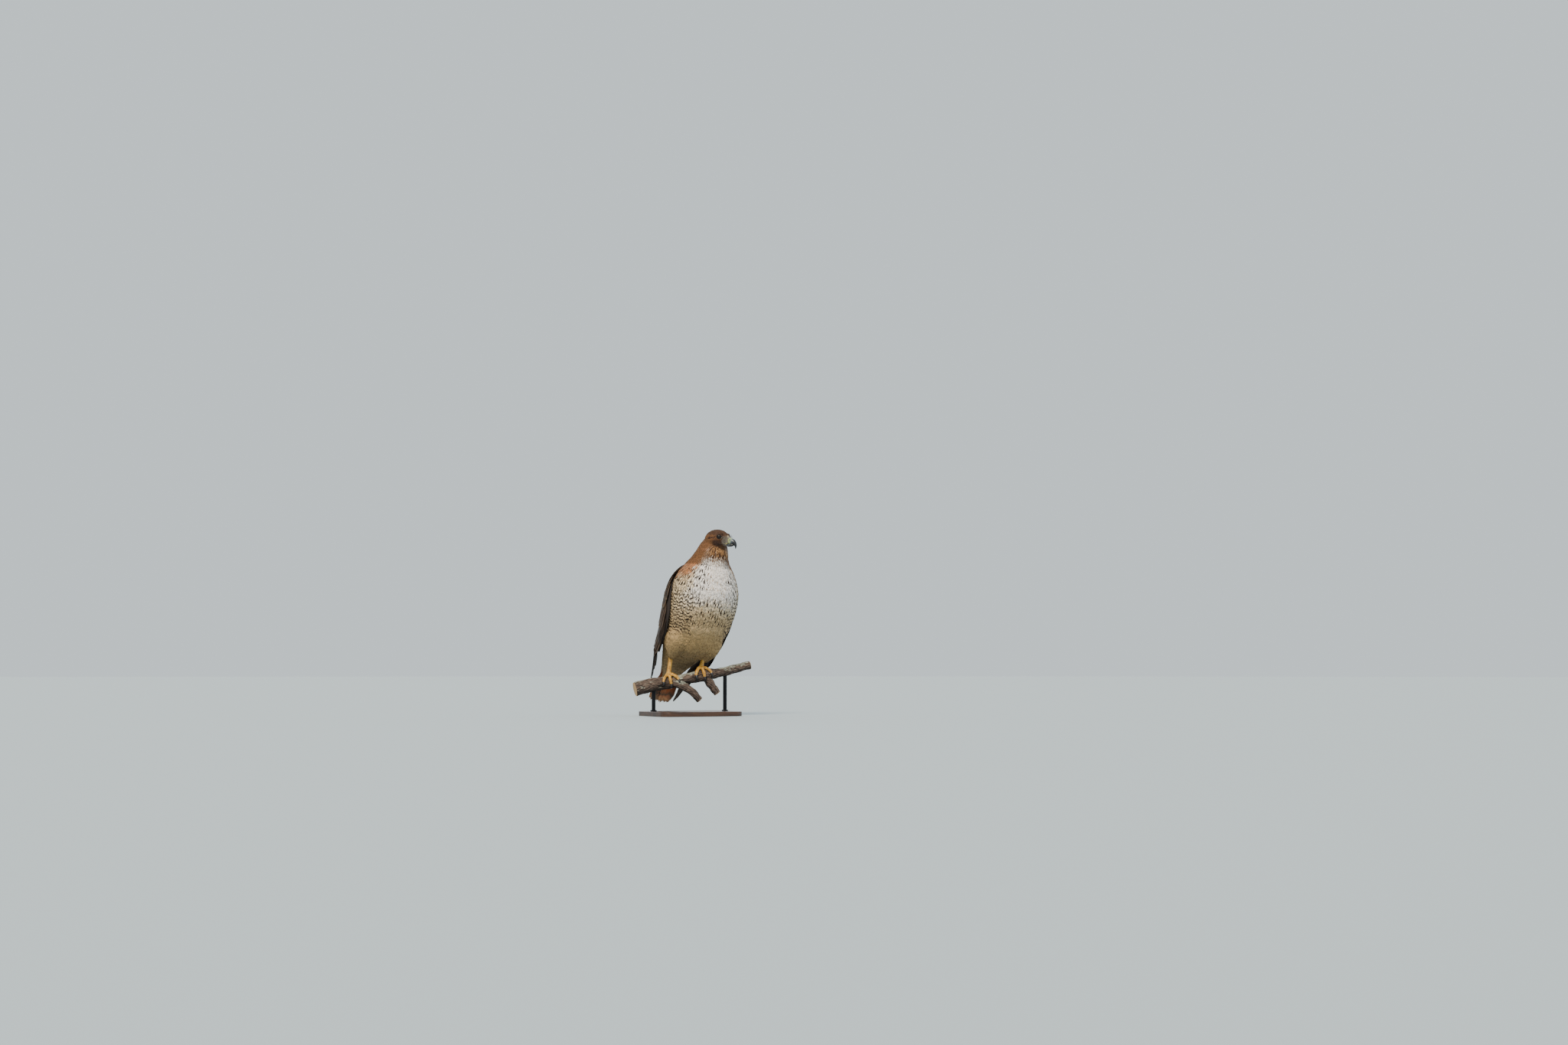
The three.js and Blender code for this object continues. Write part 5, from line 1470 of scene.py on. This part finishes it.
def limb_at(share):
    """Middle, way along, way ahead, way over and radius of the limb."""
    share = np.asarray(share, float)
    key = spline(LIMB, share)
    step = spline(LIMB, np.minimum(share + 0.01, 1)) - spline(LIMB, np.maximum(share - 0.01, 0))
    along = unit(HEADING * step[..., :1] + UP * step[..., 1:2])
    ahead = unit(np.cross(along, UP))
    return HEADING * key[..., :1] + UP * key[..., 1:2], along, ahead, np.cross(ahead, along), key[..., 2]


def limb_share(distance):
    shares = np.linspace(0, 1, 800)
    return np.interp(distance, spline(LIMB, shares)[:, 0], shares)


def bark_at(share, angle, over):
    """Round the limb, 0 degrees is on top and 90 in front."""
    middle, _, ahead, up, radius = limb_at(share)
    turn = np.radians(angle)
    uneven = 1 + 0.035 * np.sin(turn * 3 + share * 23) + 0.03 * np.sin(share * 61 + turn)
    reach = radius * uneven + over
    return middle + up * (reach * np.cos(turn))[..., None] + ahead * (reach * np.sin(turn))[..., None]

# %% Side branches
def fork_keys(name):
    start, path, _ = FORKS[name]
    middle = limb_at(limb_share(start))[0]
    return np.array([middle + HEADING * a + np.array([0, -b, c]) for a, b, c in path])


def fork_ring(name):
    keys, radius = fork_keys(name), FORKS[name][2]

    def ring(x, around):
        along = way_along(keys, x)
        across = unit(np.cross(along, np.array([0, 1.0, 0])))
        over = np.cross(across, along)
        size = radius * (1.18 - 0.3 * x) * (1 + 0.05 * np.sin(x * 19))
        turn = 2 * pi * around
        size = size * (1 + 0.04 * np.sin(3 * turn + 5 * x))
        return placed(feet_frame, spline(keys, x) + across * (size * np.cos(turn))[:, None]
            + over * (size * np.sin(turn))[:, None])
    return ring


perch = rolled("perch", 220, 72, lambda x, around: placed(feet_frame, bark_at(x, around * 360, 0.0)))
forks = [rolled(f"perch_{name}", 90, 48, fork_ring(name)) for name in FORKS]
remeshed(joined(perch, *forks), voxel=0.9, passes=3)

# %% Bark relief
centres = {"limb": limb_at(np.linspace(0, 1, 300))[0]}
radii = {"limb": limb_at(np.linspace(0, 1, 300))[4]}
for name, (_, _, radius) in FORKS.items():
    centres[name] = spline(fork_keys(name), np.linspace(0, 1, 120))
    radii[name] = np.full(120, float(radius))


def grain_of(points):
    """For places in mm: distance along the nearest branch, and across it, with how near its end it is."""
    best = np.full(len(points), np.inf)
    grain, to_end = np.zeros((len(points), 3)), np.zeros(len(points))
    for number, (name, path) in enumerate(centres.items()):
        run, nearest = run_of(path), nearest_on(path, points)
        off = points - path[nearest]
        way = unit(np.gradient(path, axis=0))[nearest]
        beyond = (off * way).sum(1)
        off = off - way * beyond[:, None]
        far = np.linalg.norm(off, axis=1) / radii[name][nearest]
        side = unit(np.cross(way, UP))
        top = np.cross(side, way)
        here = far < best
        best = np.where(here, far, best)
        found = np.stack([run[nearest] + number * 500 + beyond, (off * side).sum(1), (off * top).sum(1)], 1)
        grain[here] = found[here]
        edge = run[-1] - run[nearest] - beyond
        edge = np.minimum(edge, run[nearest] + beyond) if name == "limb" else edge
        to_end[here] = edge[here]
    return grain, to_end


points, normals = points_of(perch.data), normals_of(perch.data)
grain, to_end = grain_of(back_in(feet_frame, points))
cut_face = smooth(1.4, 0.5, to_end)
lengthways = grain * (0.05, 0.26, 0.26)
fissure = np.array([abs(noise.noise(p)) for p in lengthways.tolist()])
small_bumps = np.array([noise.noise(p) for p in (grain * (0.22, 0.5, 0.5)).tolist()])
knots = np.array([noise.noise(p) for p in (grain * 0.06 + 7).tolist()])
relief = (0.9 * smooth(0, 0.28, fissure) - 0.75 + 0.35 * small_bumps + 0.8 * knots) * (1 - cut_face)
set_points(perch.data, points + normals * (relief * MM)[:, None])
set_attribute(perch.data, "grain", grain)
# The second column marks the fissures, where the material paints shade
state = np.column_stack([cut_face, smooth(0.02, 0.2, fissure), 0.5 + 0.5 * small_bumps])
set_attribute(perch.data, "state", state)

# %% Bark material
# Bark is dry and rough, with fibres 11 mm long and 1.4 wide, and lichen in patches of some 24 mm with specks
# of 1.4 on the upper side. Shade is painted into its colour on the underside and in the fissures
bark, node, shader = surface("bark_with_lichen")
grain_in = node("Attribute", attribute_name="grain", out="Vector")
state_in = node("Attribute", attribute_name="state")
state_parts = node("SeparateColor", {0: state_in}, out=None)
place = node("TexCoord", out="Object")
long_grain = node("Mapping", {0: grain_in, 3: (0.09, 0.7, 0.7)})
fibre = node("TexNoise", {"Vector": long_grain, "Scale": 1, "Detail": 6})
base_colour = node("ValToRGB", {0: fibre}, stops=[
    (0.25, "#2b2019"), (0.45, "#4e3d33"), (0.6, "#6b5a4e"), (0.78, "#8a7b6f"),
])
height = node("NewGeometry", out="Normal")
height = node("SeparateXYZ", {0: height}, out=2)
patches = node("TexNoise", {"Vector": place, "Scale": 42, "Detail": 5})
lichen = node("Math", {0: height, 1: 0.16, 2: patches}, operation="MULTIPLY_ADD")
lichen = node("MapRange", {0: lichen, 1: 0.61, 2: 0.71}, interpolation_type="SMOOTHSTEP")
speckle = node("TexNoise", {"Vector": place, "Scale": 700, "Detail": 3})
lichen_colour = node("ValToRGB", {0: speckle}, stops=[(0.35, "#767a68"), (0.55, "#a5a898"), (0.7, "#c4c5b8")])
# Painted shade: the bark is darkened to 0.42 on its underside and to 0.3 in its fissures
painted_underside_shade = node("MapRange", {0: height, 1: -0.7, 2: 0.3, 3: 0.42, 4: 1})
painted_fissure_shade = node("MapRange", {0: state_parts[1], 3: 0.3, 4: 1})
shade = node("Math", {0: painted_underside_shade, 1: painted_fissure_shade}, operation="MULTIPLY")
colour = node("MixRGB", {0: lichen, 1: base_colour, 2: lichen_colour})
colour = node("VectorMath", {0: colour, 3: shade}, operation="SCALE")
# Cut ends show pale wood with rings
across_parts = node("SeparateXYZ", {0: grain_in}, out=None)
flat = node("CombineXYZ", {0: across_parts[1], 1: across_parts[2]})
warp = node("TexNoise", {"Vector": flat, "Scale": 0.25, "Detail": 2})
radius = node("VectorMath", {0: flat}, operation="LENGTH", out="Value")
radius = node("Math", {0: warp, 1: 2.5, 2: radius}, operation="MULTIPLY_ADD")
rings = node("Math", {0: radius, 1: 5.5}, operation="MULTIPLY")
rings = node("Math", {0: rings}, operation="SINE")
rings = node("MapRange", {0: rings, 1: -1, 2: 1})
wood = node("ValToRGB", {0: rings}, stops=[(0, "#a5855c"), (0.6, "#bf9f74"), (1, "#8c6a43")])
colour = node("MixRGB", {0: state_parts[0], 1: colour, 2: wood})
relief = node("Math", {0: fibre, 1: speckle}, operation="ADD")
bump = node("Bump", {"Height": relief, "Strength": 0.7, "Distance": 0.001})
wire(shader, {"Base Color": colour, "Normal": bump, "Roughness": 0.88})
finished(perch, bark, "bark", "perch_limb", "perch_fork_front", "perch_fork_low")

# %% [markdown]
# ## Legs and feet
# The bare leg and the toes are covered in scales: a row of broad plates, called scutes, down the front of the
# leg and along the top of every toe, and small round scales elsewhere. Leg, toes and the pad of the foot are
# rolled tubes and a sphere, joined and remeshed into one skin. The grooves between scutes are pressed into it
# every few millimetres, and the small scales are in the material.

# %% Feet forms
FOOT_SPACING = 87
TOES = {  # turn about the perch, slip along it, thickness, claw's length
    "inner": (82, -21, 4.9, 21), "middle": (104, 1, 4.6, 19),
    "outer": (84, 22, 4.1, 16), "hind": (-80, -6, 4.9, 23),
}
LEG_HALF = (5.1, 6.2)  # mm, half its width and depth
PAD_SIZE = (0.0085, 0.0085, 0.0056)  # the ball of the foot, in metres
ANKLES = {"right": (-44, 14, 74), "left": (45, -2, 76)}
FEET_AT = {"right": (-1, limb_share(-FOOT_SPACING / 2)), "left": (1, limb_share(FOOT_SPACING / 2))}


def even(path):
    """A path's points again, evenly spaced."""
    run = run_of(path)
    steps = np.linspace(0, run[-1], len(path))
    return np.stack([np.interp(steps, run, path[:, i]) for i in range(3)], 1)


def toe_path(foot, toe, count=120):
    side, start_share = FEET_AT[foot]
    turn, slip, radius, _ = TOES[toe]
    q = np.linspace(0, 1, count)
    start = 4 if turn > 0 else -6
    share = start_share + side * slip * np.sin(q * pi / 2) / LIMB_SPAN
    return even(bark_at(share, start + (turn - start) * q, radius * (1.15 - 0.25 * q)))


def outwards_of(path):
    """The way out from the perch's middle, at each point of a path."""
    return unit(path - centres["limb"][nearest_on(centres["limb"], path)])


def tube_ring(path, out, radius):
    """A ring for rolled(): round a path of places, with out the way to its upper side."""
    way = unit(np.gradient(path, axis=0))
    out = unit(out - way * (out * way).sum(1, keepdims=True))
    across = np.cross(way, out)

    def ring(x, around):
        steps = np.linspace(0, 1, len(path))
        place, up, side = (
            np.stack([np.interp(x, steps, a[:, i]) for i in range(3)], 1) for a in (path, out, across))
        turn, size = 2 * pi * around, radius(x)
        return placed(feet_frame, place + up * (size * np.cos(turn))[:, None]
            + side * (size * np.sin(turn))[:, None])
    return ring

# %% Leg
def leg_path(foot, count=120):
    ground = bark_at(np.array(FEET_AT[foot][1]), 0.0, 5.5)
    ankle = turned(turn_lean, np.array(ANKLES[foot], float))
    keys = np.array([ground, (ground + ankle) / 2 + (0, -1.5, 0), ankle])
    return even(spline(keys, np.linspace(0, 1, count)))


def leg_ring(foot):
    path = leg_path(foot)

    def ring(x, around):
        place = np.stack([np.interp(x, np.linspace(0, 1, len(path)), path[:, i]) for i in range(3)], 1)
        flare = 1 + 0.35 * np.maximum(0, 1 - x * 6) + 0.12 * x
        turn = 2 * pi * around
        oval = [LEG_HALF[0] * flare * np.cos(turn), LEG_HALF[1] * flare * np.sin(turn), 0 * x]
        return placed(feet_frame, place + np.stack(oval, 1))
    return ring


def toe_radius(radius):
    def size(x):
        round_end = np.sqrt(np.maximum(1 - np.maximum((x - 0.9) / 0.1, 0) ** 2, 1e-3))
        return radius * (1 - 0.2 * x) * (1 + 0.1 * np.cos(x * 6 * pi)) * round_end
    return size

# %% One foot
SCUTE, GROOVE = 3.1, 0.32  # mm from one groove to the next, and its depth


def foot_of(foot):
    paths = {toe: toe_path(foot, toe) for toe in TOES}
    pieces = [rolled(f"bare_foot_{foot}", 90, 32, leg_ring(foot))]
    for toe, path in paths.items():
        pieces.append(rolled(toe, 90, 28, tube_ring(path, outwards_of(path), toe_radius(TOES[toe][2]))))
    pad = placed(feet_frame, bark_at(np.array([FEET_AT[foot][1]]), 0.0, 4.6))[0]
    deselect()
    bpy.ops.mesh.primitive_uv_sphere_add(segments=40, ring_count=24, location=pad, scale=PAD_SIZE)
    pieces.append(bpy.context.object)
    made = remeshed(joined(*pieces), voxel=0.55, passes=5)
    upper = {toe: outwards_of(path) for toe, path in paths.items()}
    paths["leg"] = leg_path(foot)
    upper["leg"] = np.tile((0, -1.0, 0), (len(paths["leg"]), 1))
    points, normals = points_of(made.data), normals_of(made.data)
    places = back_in(feet_frame, points)
    best = np.full(len(points), np.inf)
    run, top = np.zeros(len(points)), np.zeros(len(points))
    for toe, path in paths.items():
        nearest = nearest_on(path, places)
        off = places - path[nearest]
        far = np.linalg.norm(off, axis=1)
        here = far < best
        best[here] = far[here]
        distance = np.linalg.norm(path[1] - path[0]) * nearest
        way = unit(np.gradient(path, axis=0))[nearest]
        run[here] = (distance + (off * way).sum(1))[here]
        top[here] = ((unit(off) * upper[toe][nearest]).sum(1))[here]
    phase = run / SCUTE % 1
    groove = np.exp(-(((phase - 0.5 + 0.08 * top) / 0.11) ** 2)) * smooth(0.1, 0.5, top)
    set_points(made.data, points - normals * (GROOVE * groove * MM)[:, None])
    state = np.column_stack([groove, smooth(0.1, 0.5, top), smooth(0.2, -0.7, top)])
    set_attribute(made.data, "scutes", state)
    return made

# %% Claws
def claw_of(foot, toe):
    side, start_share = FEET_AT[foot]
    _, slip, _, length = TOES[toe]
    path = toe_path(foot, toe)
    end, way = path[int(0.97 * (len(path) - 1))], unit(path[-1] - path[-4])
    inwards = unit(limb_at(np.array(start_share + side * slip / LIMB_SPAN))[0] - end)
    keys = np.array([end + way * length * q * (1 - 0.22 * q)
        + inwards * length * (0.42 * q * q - 0.16 * sin(q * pi)) for q in (-0.12, 0.2, 0.45, 0.7, 1)])
    curve = even(spline(keys, np.linspace(0, 1, 80)))
    name = f"talon_{foot}_{toe}"

    def size(x):
        return (3.1 * (1 - x) ** 0.75 + 0.3) * np.sqrt(np.maximum(1 - x**20, 1e-3))
    made = rolled(name, 60, 24, tube_ring(curve, outwards_of(curve), size))
    paint(made, [(0, "#3a3a40"), (0.25, "#1c1c20"), (1, "#0c0c0e")],
        np.linalg.norm(back_in(feet_frame, points_of(made.data)) - end, axis=1) / length)
    finished(made, keratin, "claw", f"claw_{foot}_{toe}")

# %% Scale material
# Scales are hard, smooth and faintly waxy: the small ones are 2 mm across, and the yellow varies over 6 mm
scales, node, shader = surface("scaled_skin_of_feet")
scutes = node("Attribute", attribute_name="scutes")
scute_parts = node("SeparateColor", {0: scutes}, out=None)
place = node("TexCoord", out="Object")
cells = node("TexVoronoi", {"Vector": place, "Scale": 520}, feature="DISTANCE_TO_EDGE")
round_scale = node("MapRange", {0: cells, 1: 0, 2: 0.2}, interpolation_type="SMOOTHSTEP")
blotch = node("TexNoise", {"Vector": place, "Scale": 180, "Detail": 4})
skin_colour = node("ValToRGB", {0: blotch}, stops=[(0.3, "#9a6824"), (0.5, "#c49139"), (0.7, "#d2a850")])
small_scales = node("Math", {0: 1, 1: scute_parts[1]}, operation="SUBTRACT")
seam = node("Math", {0: 1, 1: round_scale}, operation="SUBTRACT")
seam = node("Math", {0: seam, 1: small_scales}, operation="MULTIPLY")
seam = node("Math", {0: seam, 1: scute_parts[0]}, operation="MAXIMUM")
seam = node("Math", {0: seam, 1: 0.75}, operation="MULTIPLY")
colour = node("MixRGB", {0: seam, 1: skin_colour, 2: rgba("#5e3f1c")})
sole = node("Math", {0: scute_parts[2], 1: 0.5}, operation="MULTIPLY")
colour = node("MixRGB", {0: sole, 1: colour, 2: rgba("#8a6a35")})
level = node("Math", {0: round_scale, 1: small_scales}, operation="MULTIPLY")
bump = node("Bump", {"Height": level, "Strength": 0.6, "Distance": 0.0005})
wire(shader, {
    "Base Color": colour, "Normal": bump, "Roughness": 0.48, "IOR": 1.45, "Subsurface Weight": 0.06,
    "Subsurface Radius": (0.002, 0.001, 0.0005),
})

# %% Both feet
for foot in FEET_AT:
    finished(foot_of(foot), scales, "leg", f"leg_{foot}", f"foot_{foot}")
    for toe in TOES:
        claw_of(foot, toe)

# %% [markdown]
# ## Stand
# A museum sets a perch on plain rods in a flat base. The base is a cube primitive, bevelled first at its
# four upright corners and then finely all round. Each rod is a cylinder with a low collar where it enters
# the wood.

# %% Stand
BASE_SIZE = (230, 180, 12)
RODS_AT = {"right": -86, "left": 104}
ROD_RADIUS, COLLAR_RADIUS, COLLAR_HEIGHT = 5, 8.5, 3.2


def bevelled_box(name, size, corner, edge):
    deselect()
    bpy.ops.mesh.primitive_cube_add(size=1)
    made = bpy.context.object
    made.name = made.data.name = name
    corners = points_of(made.data)
    set_points(made.data, (corners * size + (0, 0, size[2] / 2)) * MM)
    bpy.ops.object.mode_set(mode="EDIT")
    bpy.ops.mesh.select_mode(type="EDGE")
    bpy.ops.mesh.select_all(action="DESELECT")
    bpy.ops.object.mode_set(mode="OBJECT")
    for line in made.data.edges:
        a, b = (made.data.vertices[i].co for i in line.vertices)
        line.select = abs(a.z - b.z) > 0.001
    bpy.ops.object.mode_set(mode="EDIT")
    bpy.ops.mesh.bevel(offset=corner * MM, segments=16, affect="EDGES")
    bpy.ops.object.mode_set(mode="OBJECT")
    modified(made, "BEVEL", width=edge * MM, segments=4, limit_method="ANGLE", angle_limit=radians(50))
    bpy.ops.object.shade_smooth_by_angle(angle=radians(30))
    return made


base = bevelled_box("base_board", BASE_SIZE, 26, 1.6)
# Walnut, stained and waxed: grain some 14 mm wide with a low gloss. Its pores are drawn 0.5 mm wide,
# coarser than real ones, so that they show
stained, node, shader = surface("stained_walnut")
place = node("TexCoord", out="Object")
long_grain = node("Mapping", {0: place, 3: (9, 120, 120)})
wander = node("TexNoise", {"Vector": long_grain, "Scale": 0.6, "Detail": 5, "Distortion": 0.6})
fine = node("Mapping", {0: place, 3: (60, 1800, 1800)})
pores = node("TexNoise", {"Vector": fine, "Scale": 1, "Detail": 2})
wood = node("ValToRGB", {0: wander}, stops=[
    (0.3, "#1d120c"), (0.48, "#3a2417"), (0.6, "#4a2f1e"), (0.75, "#2a1910"),
])
pore_dark = node("MapRange", {0: pores, 1: 0.35, 2: 0.55, 3: 0.55, 4: 1.1})
colour = node("VectorMath", {0: wood, 3: pore_dark}, operation="SCALE")
bump = node("Bump", {"Height": pores, "Strength": 0.2, "Distance": 0.0002})
wire(shader, {"Base Color": colour, "Normal": bump, "Roughness": 0.38, "IOR": 1.5})
finished(base, stained, "base", "stand_base")

# %% Rods
# Steel, blackened and rubbed along its length: lines 0.4 mm apart dull its shine
steel, node, shader = surface("black_satin_steel")
place = node("TexCoord", out="Object")
drawn = node("Mapping", {0: place, 3: (2500, 2500, 40)})
scratch = node("TexNoise", {"Vector": drawn, "Scale": 1, "Detail": 2})
gloss = node("MapRange", {0: scratch, 1: 0.3, 2: 0.7, 3: 0.3, 4: 0.48})
colour = node("ValToRGB", {0: scratch}, stops=[(0.3, "#1b1c1e"), (0.7, "#2a2b2d")])
wire(shader, {"Base Color": colour, "Roughness": gloss, "Metallic": 1.0})

for name, distance in RODS_AT.items():
    middle = placed(feet_frame, limb_at(limb_share(distance))[0][None])[0]
    foot_level = (BASE_SIZE[2] + 0.4) * MM
    height = middle[2] - foot_level
    deselect()
    bpy.ops.mesh.primitive_cylinder_add(vertices=48, radius=ROD_RADIUS * MM, depth=height)
    rod = bpy.context.object
    rod.name = rod.data.name = f"rod_{name}"
    rod_middle = (middle[0], middle[1], foot_level + height / 2)
    collar_middle = (middle[0], middle[1], foot_level + COLLAR_HEIGHT / 2 * MM)
    set_points(rod.data, points_of(rod.data) + rod_middle)
    bpy.ops.mesh.primitive_cylinder_add(vertices=48, radius=COLLAR_RADIUS * MM, depth=COLLAR_HEIGHT * MM)
    collar = bpy.context.object
    set_points(collar.data, points_of(collar.data) + collar_middle)
    modified(collar, "BEVEL", width=0.8 * MM, segments=3, limit_method="ANGLE", angle_limit=radians(50))
    joined(rod, collar)
    bpy.ops.object.shade_smooth_by_angle(angle=radians(35))
    finished(rod, steel, "rod", f"stand_rod_{name}")

# %% [markdown]
# ## Floor, light and finish
# The light is that of an overcast day: a pale sky, a wide warm sun from the front, and two faint ones that
# fill the shadows and draw the rim. The floor is plain and matt, a little darker than the sky.

# %% Floor and light
bpy.ops.object.select_all(action="DESELECT")
bpy.ops.mesh.primitive_circle_add(vertices=96, radius=30, fill_type="NGON")
floor = bpy.context.object
floor.name = "floor"
# Matt paint takes soft shadows and mirrors nothing
material, _, shader = surface("pale_matt_floor")
wire(shader, {"Base Color": rgba("#adb9be"), "Roughness": 0.9})
floor.data.materials.append(material)

# %% Sky and lamps
world = bpy.data.worlds.new("soft_sky")
bpy.context.scene.world = world
world.use_nodes = True
wire(world.node_tree.nodes["Background"], {"Color": rgba("#dbe6ea"), "Strength": 1.05})
for name, place, power, soft, colour in (
    ("sun_key", (-1.9, -2.0, 2.6), 3.9, 22, "#fff1de"), ("sun_fill", (2.4, -1.6, 1.4), 0.4, 60, "#eef4ff"),
    ("sun_rim", (0.8, 2.6, 2.0), 0.7, 40, "#ffffff"),
):
    bpy.ops.object.light_add(type="SUN", location=place)
    lamp = bpy.context.object
    lamp.name = name
    lamp.data.energy = power
    lamp.data.angle = radians(soft)
    lamp.data.color = linear(colour)
    lamp.rotation_euler = (-Vector(place)).to_track_quat("-Z", "Y").to_euler()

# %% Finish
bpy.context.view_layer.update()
